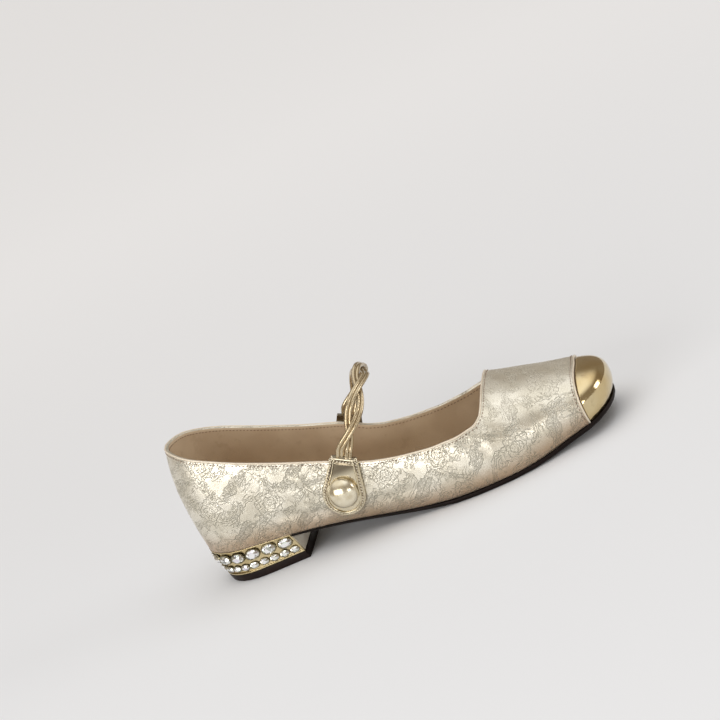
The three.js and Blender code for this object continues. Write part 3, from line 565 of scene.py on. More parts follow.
def draw_lines(f, u, v, ripple):
    """Lines that follow two slow waves, and contour lines in patches of their own."""
    wave = (v + (u * (2 * math.pi / TILE_LONG)).sin() * 7.0).repeat(TILE_WIDE / 2)
    other = (u + (v * (2 * math.pi / TILE_WIDE)).sin() * 6.0 + 8.0).repeat(TILE_LONG / 2)
    lines = wave.line(0.42).most((wave - 1.5).line(0.4)).most((wave + 1.5).line(0.4))
    lines = lines.most((wave + 2.9).line(0.3))
    lines = lines.most((other.abs() - 1.0).line(0.4) * f.noise(11).between(0.47, 0.52))
    lines = lines * f.noise(2.6).between(0.36, 0.44)
    swell = f.noise(8.5, 1.0, f.vector_of(u * 0.7 + 31.0, v * 1.15 + ripple))
    clouds = (swell * 13.0).repeat(1.0).line(0.24, 0.1) * f.noise(10, 1.0).between(0.47, 0.55)
    return lines.most(clouds * 0.9)


# %% [markdown]
# The cloth puts them together. Noise bends every line a little, because a loom draws a curve in small
# steps. The ground has long satin threads, grains and specks far smaller than the figures, and slow
# drifts of tone. Just above the sole it is painted browner, a painted shade for the dark that the cloth
# mirrors where it curves under, and on the top of the vamp its figures are calmer, as in the
# photograph. Colour, roughness and relief all come from the same drawing, so they agree.

# %% Brocade
FIGURE_SCALE = 1.12
PALE_SATIN, DULL_SATIN = (0.92, 0.88, 0.77), (0.77, 0.725, 0.61)
GRAIN_SHADE, SOLE_PAINTED_SHADE, FIGURE_SHADE = (0.40, 0.34, 0.23), (0.40, 0.24, 0.12), (0.27, 0.26, 0.20)
FIGURE_DEPTH, THREAD_DEPTH = 0.24, 0.05
PAINTED_SHADE_HEIGHT = 15.0


def brocade():
    f = Finish("satin_brocade", Metallic=0.8, Anisotropic=0.2, Sheen_Weight=0.1, Sheen_Roughness=0.4)
    forward, _, height = f.place("Object")
    calm = forward.between(44.0, 56.0) * height.between(27.0, 35.0)
    u, v, _ = f.place("UV")
    flat = f.vector
    u, v = u * FIGURE_SCALE, v * FIGURE_SCALE
    bend_u, bend_v = f.noise(3.2, 2.0), f.noise(3.2, 2.0, f.vector_of(v + 70.0, u))
    ripple = ((u + v * 0.6) * (2 * math.pi / 3.6)).sin() * 0.35
    u = u + (bend_u - 0.5) * 3.6 + ripple
    v = v + (bend_v - 0.5) * 3.6 + ripple

    x, y = u.repeat(TILE_LONG), v.repeat(TILE_WIDE)
    r = (x * x + y * y) ** 0.5
    flower = draw_flower(f, x, y, r)
    half_drop = (u + TILE_LONG / 2).repeat(TILE_LONG), (v + TILE_WIDE / 2).repeat(TILE_WIDE)
    leaf, inside, clear = draw_leaf(*half_drop)
    lines = draw_lines(f, u, v, ripple) * clear * r.between(9.2, 9.8)
    drawn = flower.most(leaf).most(lines) * f.noise(7, 1.0).between(0.3, 0.42) * (calm * -0.55 + 1.0)
    field = r.between(8.8, 7.6).most(inside) * f.noise(1.0, 2.0).between(0.4, 0.6) * (calm * -0.7 + 1.0)

    threads = f.noise(0.4, 1.0, flat, stretch=(0.25, 1.5, 1))
    grain = f.noise(0.5, 2.5, flat)
    speck = f.cells(0.55, vector=flat)
    tone = f.noise(16, 3.0, flat).between(0.38, 0.62)
    # Painted shade: the ground turns browner within a few millimetres of the sole.
    low = f.attribute("above_sole").between(PAINTED_SHADE_HEIGHT, 1.0)
    ground = f.blend(tone, PALE_SATIN, DULL_SATIN)
    ground = f.blend(grain.between(0.40, 0.62) * 0.5, ground, GRAIN_SHADE)
    ground = f.blend(low * 0.72, ground, SOLE_PAINTED_SHADE)
    f.set("Base Color", f.blend(drawn.most(field * 0.25) * 0.6, ground, FIGURE_SHADE))
    f.set("Roughness", drawn * 0.16 + grain * 0.16 + 0.27)
    weave = f.relief(threads * 0.6 + speck * 0.6, THREAD_DEPTH)
    f.relief(-drawn - field * 0.3, FIGURE_DEPTH, weave)
    return f


satin = brocade()
print("brocade:", len(satin.tree.nodes), "nodes")

# %% [markdown]
# ## Leathers, thread and metal
# The other finishes are simpler, and one recipe makes them all: two tones that drift over some
# centimetres, a grain of small cells, and patches that handling has dulled. Metallic leather is that with
# a bright foil over it, and rubber is that with hardly any shine. Sheen, coat and metal are the same all
# over a piece, so they are set on the shader itself.

# %% A recipe for leather
def leather(name, colours, rough, grain_size, grain_depth, wear=(0.0, (0.3, 0.2, 0.1)), **sockets):
    """Tones, roughness, the size and depth of the grain in mm, and how much wear of which colour."""
    f = Finish(name, **sockets)
    f.place("Object")
    drift = f.noise(18, 2.0).between(0.35, 0.65)
    cells = f.cells(grain_size)
    patch = f.noise(5, 3.0).between(0.55, 0.75)
    f.colour = f.blend(patch * wear[0], f.blend(drift, *colours), wear[1])
    f.set("Base Color", f.colour)
    f.set("Roughness", patch * 0.14 + cells * 0.06 + rough)
    broad = f.relief(f.noise(3.5, 2.0), grain_depth * 1.5)
    f.relief(cells, grain_depth, broad)
    return f


gold_leather = leather(
    "gold_leather", ((0.60, 0.45, 0.22), (0.68, 0.56, 0.33)), 0.06, 0.45, 0.012,
    (0.35, (0.33, 0.22, 0.1)), Metallic=0.95, Coat_Weight=0.3, Coat_Roughness=0.04,
)
cord_leather = leather(
    "cord_leather", ((0.44, 0.34, 0.20), (0.58, 0.48, 0.32)), 0.18, 0.35, 0.03,
    (0.35, (0.30, 0.21, 0.11)), Metallic=0.8, Coat_Weight=0.25, Coat_Roughness=0.15,
)
lining = leather(
    "lining_leather", ((0.56, 0.43, 0.29), (0.62, 0.49, 0.34)), 0.55, 0.6, 0.05,
    (0.3, (0.44, 0.32, 0.2)), Specular_IOR_Level=0.35,
)
breast_lacquer = leather(
    "breast_lacquer", ((0.88, 0.79, 0.62), (0.93, 0.85, 0.7)), 0.3, 0.5, 0.03,
    (0.2, (0.6, 0.48, 0.32)), Metallic=0.15, Coat_Weight=0.2,
)
fold_satin = leather(
    "fold_satin", ((0.74, 0.64, 0.5), (0.8, 0.71, 0.57)), 0.38, 0.4, 0.04,
    (0.25, (0.58, 0.45, 0.34)), Metallic=0.3, Sheen_Weight=0.2,
)
print("leathers:", len(bpy.data.materials), "materials so far")

# %% [markdown]
# The tabs are cut from a pale foil leather. Towards the strap its colour is painted darker, almost to
# brown: a painted shade that gives the tab its dark upper part, where the leather mirrors something dark.
# The height on the shoe decides, and the rolled edges and the ridge keep the plain leather.

# %% Leather of the tabs
PALE_FOIL = ((0.66, 0.57, 0.39), (0.74, 0.66, 0.49)), 0.12, 0.45, 0.02, (0.4, (0.40, 0.31, 0.18))
FOIL_SHINE = {"Metallic": 0.95, "Coat_Weight": 0.2, "Coat_Roughness": 0.1}
TAB_PAINTED_SHADE = (0.13, 0.10, 0.06)
PAINTED_SHADE_STARTS, PAINTED_SHADE_FULL = 14.5, 8.5

pale_leather = leather("pale_leather", *PALE_FOIL, **FOIL_SHINE)
tab_leather = leather("tab_leather", *PALE_FOIL, **FOIL_SHINE)
tab_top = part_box("button_tab")[1][2] / MM
height = tab_leather.place("Object")[2]
# Painted shade: the tab darkens towards the strap as if it mirrored something dark.
painted_tab_shade = height.between(tab_top - PAINTED_SHADE_STARTS, tab_top - PAINTED_SHADE_FULL)
tab_leather.set("Base Color", tab_leather.blend(painted_tab_shade * 0.9, tab_leather.colour, TAB_PAINTED_SHADE))
print("tab top at", round(tab_top, 1), "mm")

# %% [markdown]
# Sole and heel tip are black rubber, and a rubber that is nearly black still needs a grain and a few
# scuffs to look solid. The threads are matt: dark on satin, pale round the cord of the tabs.

# %% Rubber and thread
sole_rubber = leather(
    "sole_rubber", ((0.006, 0.003, 0.002), (0.010, 0.005, 0.004)), 0.45, 0.5, 0.03,
    (0.12, (0.04, 0.025, 0.02)), Specular_IOR_Level=0.12,
)
lift_rubber = leather(
    "lift_rubber", ((0.008, 0.004, 0.003), (0.014, 0.007, 0.005)), 0.42, 0.45, 0.03,
    (0.15, (0.05, 0.03, 0.025)), Specular_IOR_Level=0.16,
)
thread = leather(
    "thread", ((0.20, 0.11, 0.07), (0.28, 0.17, 0.11)), 0.6, 0.2, 0.05, Sheen_Weight=0.2
)
# The dark cord under the tab stitches is a painted shade for their groove.
painted_groove_shade = leather("painted_groove_shade", ((0.10, 0.07, 0.04), (0.16, 0.11, 0.06)), 0.6, 0.2, 0.05)
pale_thread = leather(
    "pale_thread", ((0.66, 0.58, 0.43), (0.74, 0.67, 0.52)), 0.5, 0.2, 0.05, Sheen_Weight=0.3
)
print("threads:", thread.material.name, painted_groove_shade.material.name, pale_thread.material.name)

# %% [markdown]
# The plate is polished gold, and the cups of the stones are darker, so each stone gets an outline. Cut
# stones have a mirror foil behind them, and glass in front of a mirror costs a renderer many bounces.
# A bright metal with a clear coat looks the same at this size: every facet carries a number called glint,
# and that number picks a white, a tinted or a dark colour, a painted reflection that stands in for the
# light that glass and foil would send back. The pearl is a soft metal under thick lacquer.

# %% Metal, stones and pearl
gold_plate = leather(
    "gold_plate", ((0.62, 0.49, 0.26), (0.70, 0.58, 0.34)), 0.18, 0.25, 0.005,
    (0.4, (0.36, 0.32, 0.15)), Metallic=1.0,
)
cup_metal = leather(
    "cup_metal", ((0.16, 0.145, 0.10), (0.30, 0.26, 0.16)), 0.2, 0.3, 0.01,
    (0.4, (0.05, 0.045, 0.03)), Metallic=1.0,
)
PAINTED_REFLECTIONS = (
    # the glint from which a facet takes the painted reflection, and its colour
    (0.62, (0.99, 0.96, 0.86)),
    (0.76, (0.88, 0.96, 0.84)),
    (0.86, (0.88, 0.84, 0.95)),
    (0.93, (0.25, 0.25, 0.27)),
)
stone_glass = Finish("stone_glass", Metallic=0.88, Coat_Weight=0.6, Coat_Roughness=0.02)
glint = stone_glass.attribute("glint")
# Painted reflections: each facet's glint picks the colour of the light that it would mirror.
painted_reflection = (1.0, 1.0, 1.0)
for start, colour in PAINTED_REFLECTIONS:
    painted_reflection = stone_glass.blend(glint.between(start, start + 0.02), painted_reflection, colour)
# Facets with the lowest glint get a dim painted reflection.
painted_facet_colour = stone_glass.blend(glint.between(0.14, 0.12), painted_reflection, (0.5, 0.52, 0.46))
stone_glass.set("Base Color", painted_facet_colour)
stone_glass.set("Roughness", glint * 0.05 + 0.02)

pearl = Finish("pearl_lacquer", Metallic=0.8, Coat_Weight=0.8, Coat_Roughness=0.04)
pearl.place("Object")
swirl = pearl.noise(6, 1.5).between(0.35, 0.65)
pearl.set("Base Color", pearl.blend(swirl, (0.60, 0.51, 0.34), (0.82, 0.75, 0.58)))
pearl.set("Roughness", pearl.noise(4, 1.0) * 0.1 + 0.18)
print("all finishes:", len(bpy.data.materials), "materials")

# %% [markdown]
# ## The upper
# On a real shoe the upper is a flat pattern piece, pulled over a last and closed by a seam down the back.
# It could be draped here too, but the solid already has the true shape of the last, so a copy of it is
# only softened. Creases decide how: the top edge gets the round of folded cloth, the bottom edge stays
# crisp where it meets the sole, and a subdivision smooths the rest. The regions between sharp edges tell
# outer face, lining, bottom and rims apart, largest first.

# %% Regions of the upper
SEAM_Y, NEAR_SEAM = -1.433 * MM, 0.2 * MM
BEHIND = -100 * MM


def crease(bm, edges, amount):
    layer = bm.edges.layers.float["crease_edge"]
    for e in edges:
        e[layer] = amount


def facing(edges, faces, *others):
    """The edges with one face in a region, without those that touch the other regions."""
    found = [e for e in edges if sum(f in faces for f in e.link_faces) == 1]
    return [e for e in found if not any(f in other for other in others for f in e.link_faces)]


def touching(edges, faces):
    return [e for e in edges if any(f in faces for f in e.link_faces)]


def on_seam(v):
    return abs(v.co.y - SEAM_Y) < NEAR_SEAM and v.co.x < BEHIND


bm = copy_of("upper")
borders = sharp_edges(bm, 40)
outer, inner, bottom, collar, seam = regions(bm, borders)[:5]
collar_edges = facing(borders, outer, bottom, seam)
seam_edges = touching(touching(borders, outer), seam)
back_seam = [e for e in bm.edges if all(on_seam(v) for v in e.verts)]
outer_back = [e for e in back_seam if all(f in outer for f in e.link_faces)]
collar_walk, collar_closed = walk(collar_edges, outer, 2.0 * MM)
seam_walk, seam_closed = walk(seam_edges, outer, 2.0 * MM)
back_walk, back_closed = walk(outer_back, outer, 2.0 * MM)
print("steps along collar, cap seam, back seam:", len(collar_walk), len(seam_walk), len(back_walk))

# %% The upper
free = bm.verts.layers.float.new("free")
for v in bm.verts:
    v[free] = float(all(f in outer for f in v.link_faces))
for f in bm.faces:
    f.material_index = 1 if f in inner else 0
for e in borders + back_seam:
    e.seam = True
for region, amount in ((bottom, 1.0), (seam, 0.8), (collar, 0.55)):
    crease(bm, touching(borders, region), amount)
bm.faces.index_update()
outside = {f.index for f in outer}
upper = piece("upper_brocade", bm, [satin, lining], ["upper"], levels=2)

# %% [markdown]
# The brocade is drawn on flat cloth, so the outer face needs a flat map. Projecting one from the side
# would smear it at heel and toe. Unwrapping for the least stretch lays the face flat as the pattern piece
# was, cut open along the back seam. The map is then scaled until its area is the face's own, in metres,
# and turned until the cloth runs from heel to toe.

# %% Unwrap the outer face
upper.data.uv_layers.new(name="cloth")
bpy.context.view_layer.objects.active = upper
upper.select_set(True)
for polygon in upper.data.polygons:
    polygon.select = polygon.index in outside
bpy.ops.object.mode_set(mode="EDIT")
bpy.ops.uv.unwrap(method="MINIMUM_STRETCH", margin=0)
bpy.ops.object.mode_set(mode="OBJECT")
upper.select_set(False)
print("unwrapped", len(outside), "faces")

# %% Lay the cloth flat
def flatten(made, faces, tail, head):
    """Scales the map to real size and turns it so that the cloth runs from tail to head."""
    layer = made.data.uv_layers.active.data
    uv = np.array([d.uv for d in layer])
    area = flat = 0.0
    near = {"tail": (1e9, None), "head": (1e9, None)}
    for i in faces:
        polygon = made.data.polygons[i]
        loops = list(polygon.loop_indices)
        x, y = uv[loops, 0], uv[loops, 1]
        flat += abs(np.dot(x, np.roll(y, -1)) - np.dot(y, np.roll(x, -1))) / 2
        area += polygon.area
        for name, spot in (("tail", tail), ("head", head)):
            far = (polygon.center - Vector(spot)).length
            if far < near[name][0]:
                near[name] = far, (x.mean(), y.mean())
    (u0, v0), (u1, v1) = near["tail"][1], near["head"][1]
    angle = -math.atan2(v1 - v0, u1 - u0)
    turn = np.array([[math.cos(angle), -math.sin(angle)], [math.sin(angle), math.cos(angle)]])
    uv = (uv - (u0, v0)) @ turn.T * math.sqrt(area / flat)
    for d, value in zip(layer, uv):
        d.uv = value
    print("cloth area", round(area / MM / MM), "mm2, size", np.round(np.ptp(uv, axis=0) / MM), "mm")


HEEL_SPOT, BALL_SPOT = (-0.10, -0.03, 0.045), (0.02, -0.04, 0.03)
flatten(upper, outside, HEEL_SPOT, BALL_SPOT)

# %% [markdown]
# Cloth on a last is never quite smooth. A bump in the material could draw wrinkles, but they would be
# missing from the outline and the exported mesh, so they are shaped here. The subdivision is applied,
# which gives a point every millimetre and a half. Each wrinkle is a line of a few corners, with a width
# and a depth: one long shallow wrinkle runs back from the tab, and short ones gather at the corners of
# the throat and where the shoe bends.

# %% Lines of the wrinkles
WRINKLES = (
    # the line in millimetres, the width and the depth of the fold
    (((-43.4, -30.0, 22.4), (-51.6, -29.7, 23.4), (-59.5, -29.9, 27.0), (-68.5, -30.1, 29.8)), 2.4, 0.55),
    (((-14.0, -33.0, 17.3), (-0.2, -35.3, 18.0), (11.2, -37.5, 16.4)), 2.6, 0.35),
    (((-38.0, -30.0, 38.0), (-47.0, -29.5, 39.5), (-55.0, -29.5, 42.0)), 2.2, 0.3),
    (((44.3, -36.3, 32.0), (49.0, -37.0, 27.0), (52.0, -39.0, 21.0)), 2.6, 0.4),
    (((53.0, -34.6, 33.8), (60.0, -34.4, 30.0), (66.0, -35.5, 25.0)), 2.4, 0.35),
    (((36.0, -39.0, 24.0), (41.0, -41.0, 17.0), (43.0, -41.0, 11.0)), 2.6, 0.35),
    (((44.0, 36.0, 33.0), (49.0, 38.0, 27.0), (53.0, 39.5, 21.0)), 2.6, 0.4),
    (((30.0, 36.0, 28.0), (34.0, 39.0, 20.0), (36.0, 40.0, 12.0)), 2.6, 0.3),
    (((-50.0, 28.0, 28.0), (-58.0, 28.0, 31.0), (-66.0, 27.5, 33.0)), 2.4, 0.35),
)


def from_line(points, line):
    """How far each point is from a line of several corners."""
    far = np.full(len(points), 1e9)
    for a, b in zip(np.array(line[:-1]), np.array(line[1:])):
        along = np.clip((points - a) @ (b - a) / ((b - a) @ (b - a)), 0, 1)
        far = np.minimum(far, np.linalg.norm(points - a - along[:, None] * (b - a), axis=1))
    return far


print(len(WRINKLES), "wrinkles")


# %% Apply the subdivision and read the points
def read(of, name, width=3):
    values = np.empty(len(of) * width, dtype=np.float32)
    of.foreach_get(name, values)
    return values.reshape(-1, width) if width > 1 else values


graph = bpy.context.evaluated_depsgraph_get()
smoothed = bpy.data.meshes.new_from_object(
    upper.evaluated_get(graph), preserve_all_data_layers=True, depsgraph=graph
)
upper.modifiers.clear()
upper.data = smoothed
points = read(smoothed.vertices, "co") / MM
normals = read(smoothed.vertices, "normal")
loose = read(smoothed.attributes["free"].data, "value", 1)
print(len(points), "points")

# %% [markdown]
# The points are pushed in or out along their normals. A wrinkle is a valley between two low shoulders,
# so one narrow bell is taken away and a wider ring is added round it. Ripples cross the place where the
# shoe bends, puckers run along the feather line, where the cloth was pulled under, and slow waves keep
# the rest from looking machined. Points on the rims and inside the shoe stay where they are.

# %% Push the points
SHOULDER, SHOULDER_AT = 0.45, 1.7
BEND_AT, BEND_REACH, BEND_DEPTH = 38, 26, 0.13
PUCKER_DEPTH, PUCKER_REACH = 0.12, 4
WAVE_DEPTH = 0.08


def bottom_line(low):
    """The height of the upper's bottom edge every 4 mm along the shoe, from the points of its underside."""
    at = np.arange(low[:, 0].min(), low[:, 0].max(), 4)
    return at, [low[np.abs(low[:, 0] - x) < 4, 2].min() for x in at]


push = np.zeros(len(points))
for line, width, depth in WRINKLES:
    far = from_line(points, line)
    shoulders = SHOULDER * np.exp(-(((far - SHOULDER_AT * width) / width) ** 2))
    push += depth * (shoulders - np.exp(-((far / width) ** 2)))
x, y, z = points.T
bend = np.exp(-(((x - BEND_AT) / BEND_REACH) ** 2)) * np.clip((44 - z) / 12, 0, 1)
push += BEND_DEPTH * bend * np.sin(x / 1.35 + 0.12 * z + 0.8 * np.sin(y / 6))
sole_line = np.interp(x, *bottom_line(points[(normals[:, 2] < -0.7) & (loose < 0.5)]))
push += PUCKER_DEPTH * np.exp(-np.abs(z - sole_line) / PUCKER_REACH) * np.sin(x / 1.0 + y / 1.5)
push += WAVE_DEPTH * np.sin(x / 4.1 + 1.3 * np.sin(z / 5.0)) * np.sin(z / 3.7 + y / 6.0)
moved = (points + normals * (push * np.clip(loose, 0, 1))[:, None]) * MM
smoothed.vertices.foreach_set("co", moved.astype(np.float32).ravel())
# The height above the sole line, kept for the painted shade of the brocade near the sole.
above = smoothed.attributes.new("above_sole", "FLOAT", "POINT")
above.data.foreach_set("value", (z - sole_line).astype(np.float32))
smoothed.update()
print(f"pushed {len(points)} points by {push.min():.2f} to {push.max():.2f} mm")

# %% [markdown]
# The top line and the seam at the toe cap are folded edges with a row of stitches beside them. The fold
# is a slim cord laid along the edge, half sunk into it, and every stitch is a short bent thread of its
# own, so both catch the light as they do on the shoe. The walks taken before the copy was smoothed give
# the way, and each stitch is set down on the smoothed cloth.

# %% Folded edges and stitches
cloth = surface_of(upper)
sew("collar_stitches", collar_walk, cloth, 1.8, thread, 1.35, 0.5)
sew("seam_stitches", seam_walk, cloth, 1.9, thread, 1.3, 0.55)
lining_walk = [(p - normal * 2.4 * MM, way, -normal, inward) for p, way, normal, inward in collar_walk]
sew("lining_stitches", lining_walk, cloth, 1.9, thread, 1.35, 0.5)
for side in (-1, 1):
    sew(f"back_stitches_{side + 1}", back_walk[1:-1], cloth, side * 1.3, thread, 1.35, 0.45, 0)
bead("back_fold", back_walk[:-1], back_closed, 0.35, fold_satin, lift=-0.2)
bead("collar_fold", collar_walk, collar_closed, 0.55, fold_satin, inset=0.3, lift=-0.2)
bead("seam_fold", seam_walk, seam_closed, 0.5, fold_satin, inset=0.3, lift=-0.15)

# %% [markdown]
# ## Toe cap
# A plain cap of metallic leather, pulled over the toe and tucked under the folded edge of the vamp. The
# leather is stretched over a stiffener, so its front swells a little over the sole. Only the points of the
# outer face are moved, the more the nearer they are to the tip, so the edges keep their places.

# %% Toe cap
SWELL, SWELL_STARTS, SWELL_OVER = 0.9 * MM, 112 * MM, 10 * MM
SWELL_FROM = 95 * MM
bm = copy_of("toe_cap")
borders = sharp_edges(bm, 40)
crease(bm, borders, 0.9)
outer_face = regions(bm, borders)[0]
rim = {v for e in borders for v in e.verts}
for v in {v for f in outer_face for v in f.verts} - rim:
    ahead = min(1.0, max(0.0, v.co.x - SWELL_STARTS) / SWELL_OVER)
    v.co += Vector((v.co.x - SWELL_FROM, v.co.y, 0)).normalized() * ahead * SWELL
piece("toe_cap_leather", bm, [gold_leather], ["toe_cap"], levels=2)

# %% [markdown]
# ## Tabs
# Each tab is a pear-shaped flap with a rolled edge. A row of tight stitches wraps over a cord just inside
# it. The cord is dark, a painted shade for the groove that the stitches sink into. A second, softer ridge
# shows where the padding starts. The edge of the solid's outer face gives the line to follow. The padding
# is raised by insetting that face three times, each ring a little higher.

# %% Tabs
PADDING = ((1.9, 0.0), (0.8, 0.35), (0.7, 0.15))


def dress_tab(node, away):
    bm = copy_of(node)
    borders = sharp_edges(bm, 30)
    faces = regions(bm, borders)[:2]
    front = max(faces, key=lambda region: sum(f.normal.dot(away) * f.calc_area() for f in region))
    walked, closed = walk(facing(borders, front), front, 0.85 * MM)
    crease(bm, borders, 0.7)
    for width, rise in PADDING:
        bmesh.ops.inset_region(
            bm, faces=list(front), thickness=width * MM, depth=rise * MM, use_even_offset=False
        )
    flap = piece(node + "_leather", bm, [tab_leather], [node], levels=2)
    surface = surface_of(flap)
    bead(node + "_edge", walked, closed, 0.6, pale_leather, inset=0.1, lift=-0.2)
    # A dark cord sunk under the stitches, painted shade for the groove.
    bead(node + "_groove_painted_shade", walked, closed, 0.4, painted_groove_shade, inset=1.3, lift=-0.22)
    bead(node + "_ridge", walked, closed, 0.45, pale_leather, inset=2.5, lift=-0.15, flat=0.8)
    sew(node + "_stitches", walked[::2], surface, 1.3, pale_thread, 1.6, 0.7, 38, -0.05)


dress_tab("button_tab", Vector((0, -1, 0)))
dress_tab("inner_tab", Vector((0, 1, 0)))

# %% [markdown]
# The button is half a pearl: a dome with a thick pearl lacquer, slightly metallic, so it mirrors the
# room softly. Only its rim is creased, so the subdivision rounds the dome and leaves the flat back flat.

# %% The pearl
bm = copy_of("button")
crease(bm, sharp_edges(bm, 60), 0.8)
piece("pearl_button", bm, [pearl], ["button"], levels=2)

# %% [markdown]
# ## Twisted strap
# Each strand is a pair of rolled leather cords that lie side by side, and the two strands wind round
# each other. A strand's solid holds its two cords in rings of ten points, five to a cord, from one end to
# the other. Smoothing that solid would melt the two cords into one, so they are laid again as four round
# tubes. The rings are found by growing from the end, each is split into its two halves, and a circle put
# through a half gives the middle of its cord.

# %% Middle lines of the cords
def rings_from(start):
    """The rings of points along a tube, counted from the ring at one end."""
    rings, seen = [set(start)], set(start)
    while True:
        following = {e.other_vert(v) for v in rings[-1] for e in v.link_edges} - seen
        if not following:
            return [np.array([v.co for v in ring]) for ring in rings]
        rings.append(following)
        seen |= following


def circle_through(points):
    """Centre and radius of the circle that comes nearest to some points of its round."""
    q = (points - points.mean(0)) / MM
    fit = np.linalg.lstsq(np.c_[2 * q, np.ones(len(q))], (q * q).sum(1), rcond=0.02)[0]
    return points.mean(0) + fit[:3] * MM, math.sqrt(fit[3] + fit[:3] @ fit[:3]) * MM


def cords_of(node):
    """The middle lines of a strand's two cords, and their radius."""
    bm = copy_of(node)
    end = {v for e in sharp_edges(bm, 80) for v in e.verts if v.co.y < 0}
    lines, wide = ([], []), None
    for ring in rings_from(end):
        middle = ring.mean(0)
        axis = np.linalg.svd(ring - middle)[2][0]
        wide = axis if wide is None or axis @ wide > 0 else -axis
        for line, sign in zip(lines, (-1, 1)):
            half = ring[(ring - middle) @ wide * sign > 0]
            centre, radius = circle_through(half)
            line.append(centre)
    return lines, radius / MM


def run_on(line, length):
    """The line with both of its ends carried on, into the tabs that hold them."""
    head, tail = line[0] - line[1], line[-1] - line[-2]
    grow = length * MM
    first = line[0] + head / np.linalg.norm(head) * grow
    last = line[-1] + tail / np.linalg.norm(tail) * grow
    return [first, *line, last]


strands = {node: cords_of(node) for node in ("strap_strand_a", "strap_strand_b")}
for node, (lines, radius) in strands.items():
    print(node, [len(line) for line in lines], "rings, radius", round(radius, 2), "mm")

# %% Lay the cords
INTO_TAB, CORD_STEP = 2.6, 1.1 * MM
PLUMP = 1.04
for node, (lines, radius) in strands.items():
    for number, line in enumerate(lines):
        places, ways = respaced(run_on(line, INTO_TAB), CORD_STEP)
        walked = []
        out = Vector((1, 0, 0))
        for p, way in zip(places, ways):
            out = (out - way * out.dot(way)).normalized()
            walked.append((p, way, out, way.cross(out)))
        name = f"{node}_cord_{number}"
        cord = bead(name, walked, False, radius * PLUMP, cord_leather, sides=12)
        if number == 0:
            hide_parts(node)

# %% [markdown]
# ## Sole, insole and heel
# The sole is cut from a sheet, the lift and the block are turned out of a mould and ground, and the plate
# is pressed from thin metal. None of them ends in a razor edge, so each gets a small bevel instead of a
# subdivision, which would round the whole form. The insole is a thin padded sock in the same leather as
# the lining, so its edge is the softest.

# %% Sole, insole and heel
SHARP_CORNER, KEPT_SHARP = 35, 32


def eased(node, width, finish, segments=2):
    bm = copy_of(node, join=25)
    bmesh.ops.bevel(
        bm, geom=sharp_edges(bm, SHARP_CORNER), offset=width * MM, segments=segments, profile=0.5,
        affect="EDGES", material=-1, clamp_overlap=True,
    )
    made = piece(node + "_eased", bm, [finish], [node])
    made.data.set_sharp_from_angle(angle=math.radians(KEPT_SHARP))
    print(node, len(made.data.polygons), "faces")


eased("outsole", 0.35, sole_rubber)
eased("insole", 0.8, lining, 3)
eased("top_lift", 0.3, lift_rubber)
eased("heel_block", 0.3, breast_lacquer)
eased("heel_plate", 0.28, gold_plate, 3)

# %% [markdown]
# ## Stones
# Each stone sits in a low cup, pressed into the plate. The gem and its cup are drawn once, in a frame
# where the stone has radius one and height one, and set down in every stone's own place. The solid of a
# stone is flat, so the direction in which it is thinnest points out of the heel, and the one in which it
# is longest runs along the row. The cup reaches a little past the solid, which is why the sizes grow.

# %% Places of the stones
GROWN_LONG, GROWN_ACROSS, GROWN_HIGH = 1.1, 1.02, 1.15


def frame_of(node):
    """A stone's place: x along its row, y across, z out of the heel, each scaled to its half size."""
    points = np.unique(np.round([tuple(v.co) for v in solids[node].data.vertices], 6), axis=0)
    middle = points.mean(0)
    thin, across, along = np.linalg.eigh((points - middle).T @ (points - middle))[1].T
    heel = np.array(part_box("heel_block")).mean(0)
    if thin @ (middle - heel) < 0:
        thin = -thin
    across = np.cross(thin, along)
    grown = ((along, GROWN_LONG), (across, GROWN_ACROSS), (thin, GROWN_HIGH))
    sizes = [np.ptp((points - middle) @ axis) * grow for axis, grow in grown]
    base = middle + thin * ((points - middle) @ thin).min()
    axes = np.array([along * sizes[0] / 2, across * sizes[1] / 2, thin * sizes[2]])
    return Matrix.Translation(base) @ Matrix(axes.tolist()).transposed().to_4x4()


stones = {name: frame_of(name) for name in solids if name.startswith("stone_")}
print(len(stones), "stones, the first at", np.round(stones["stone_large_01"].translation / MM, 1))

# %% [markdown]
# A cut gem is the convex hull of a few rings of points: the table, the star points, and the girdle. The
# hull gives true flat facets without naming a single one. Each facet keeps its own number, from which the
# finish picks a painted reflection: bright, dark or faintly tinted.

# %% A cut gem
GEM = (
    # corners, radius, height and turn of each ring
    (8, 0.54, 1.0, 0.5),
    (8, 0.76, 0.72, 0.0),
    (16, 0.97, 0.3, 0.5),
    (16, 0.9, 0.0, 0.5),
)
random.seed(7)


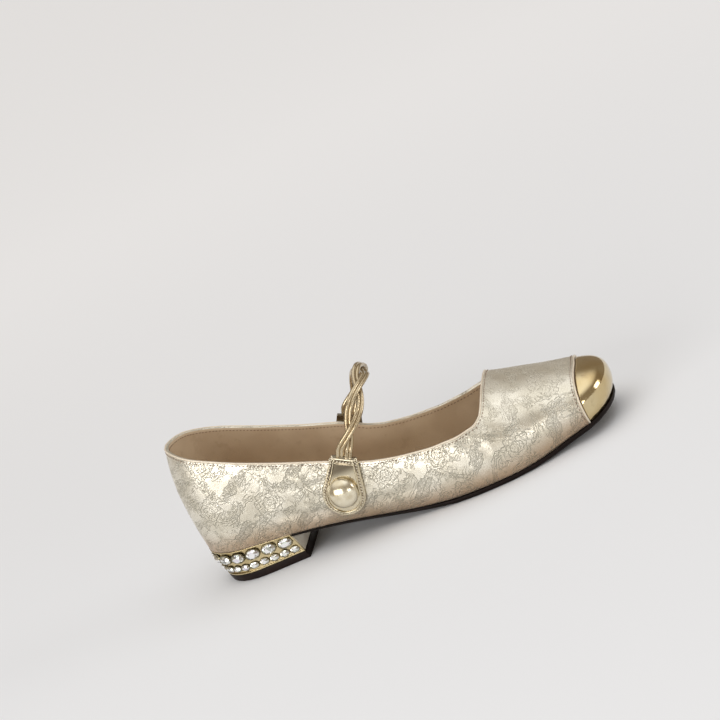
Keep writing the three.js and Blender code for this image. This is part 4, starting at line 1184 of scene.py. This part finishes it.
def add_gem(bm, place):
    fresh = []
    for corners, radius, height, turn in GEM:
        spun = Matrix.Rotation(turn * 2 * math.pi / corners, 4, "Z")
        matrix = place @ Matrix.Translation((0, 0, height)) @ spun
        fresh += bmesh.ops.create_circle(bm, segments=corners, radius=radius, matrix=matrix)["verts"]
    hull = bmesh.ops.convex_hull(bm, input=fresh)
    glint = bm.faces.layers.float["glint"]
    for g in hull["geom"]:
        if isinstance(g, bmesh.types.BMFace):
            g[glint] = random.random()


print(sum(ring[0] for ring in GEM), "points to a gem")

# %% [markdown]
# The cup is a small profile spun round: up the inside, over the lip and down to the plate. The large
# stones are also held by four claws, which are small beads of metal melted over the girdle.

# %% A cup with claws
CUP = ((0.84, 0.02), (0.9, 0.34), (0.98, 0.44), (1.08, 0.34), (1.12, 0.0))
CLAW_OUT, CLAW_UP, CLAW_RADIUS = 0.93, 0.42, 0.42 * MM


def add_cup(bm, place, claws):
    chain = [bm.verts.new((r, 0, h)) for r, h in CUP]
    edges = [bm.edges.new(pair) for pair in zip(chain, chain[1:])]
    spun = bmesh.ops.spin(
        bm, geom=chain + edges, cent=(0, 0, 0), axis=(0, 0, 1), angle=2 * math.pi, steps=18, use_merge=True
    )
    ring = {v for e in spun["geom_last"] if isinstance(e, bmesh.types.BMEdge) for v in e.verts}
    fresh, front = set(ring), list(ring)
    while front:
        for e in front.pop().link_edges:
            for v in e.verts:
                if v not in fresh:
                    fresh.add(v)
                    front.append(v)
    bmesh.ops.transform(bm, matrix=place, verts=list(fresh))
    for k in range(claws):
        a = math.pi / 4 + k * math.pi / 2
        spot = place @ Vector((CLAW_OUT * math.cos(a), CLAW_OUT * math.sin(a), CLAW_UP))
        bmesh.ops.create_icosphere(bm, subdivisions=1, radius=CLAW_RADIUS, matrix=Matrix.Translation(spot))


# %% Stones
for size, claws in (("large", 4), ("small", 0)):
    names = [name for name in stones if name.startswith("stone_" + size)]
    gems, cups = bmesh.new(), bmesh.new()
    gems.faces.layers.float.new("glint")
    for name in names:
        add_gem(gems, stones[name])
        add_cup(cups, stones[name], claws)
    for bm in (gems, cups):
        bmesh.ops.remove_doubles(bm, verts=bm.verts, dist=1e-6)
        bmesh.ops.recalc_face_normals(bm, faces=bm.faces)
    piece(f"{size}_stones", gems, [stone_glass], names, smooth=False)
    piece(f"{size}_cups", cups, [cup_metal])
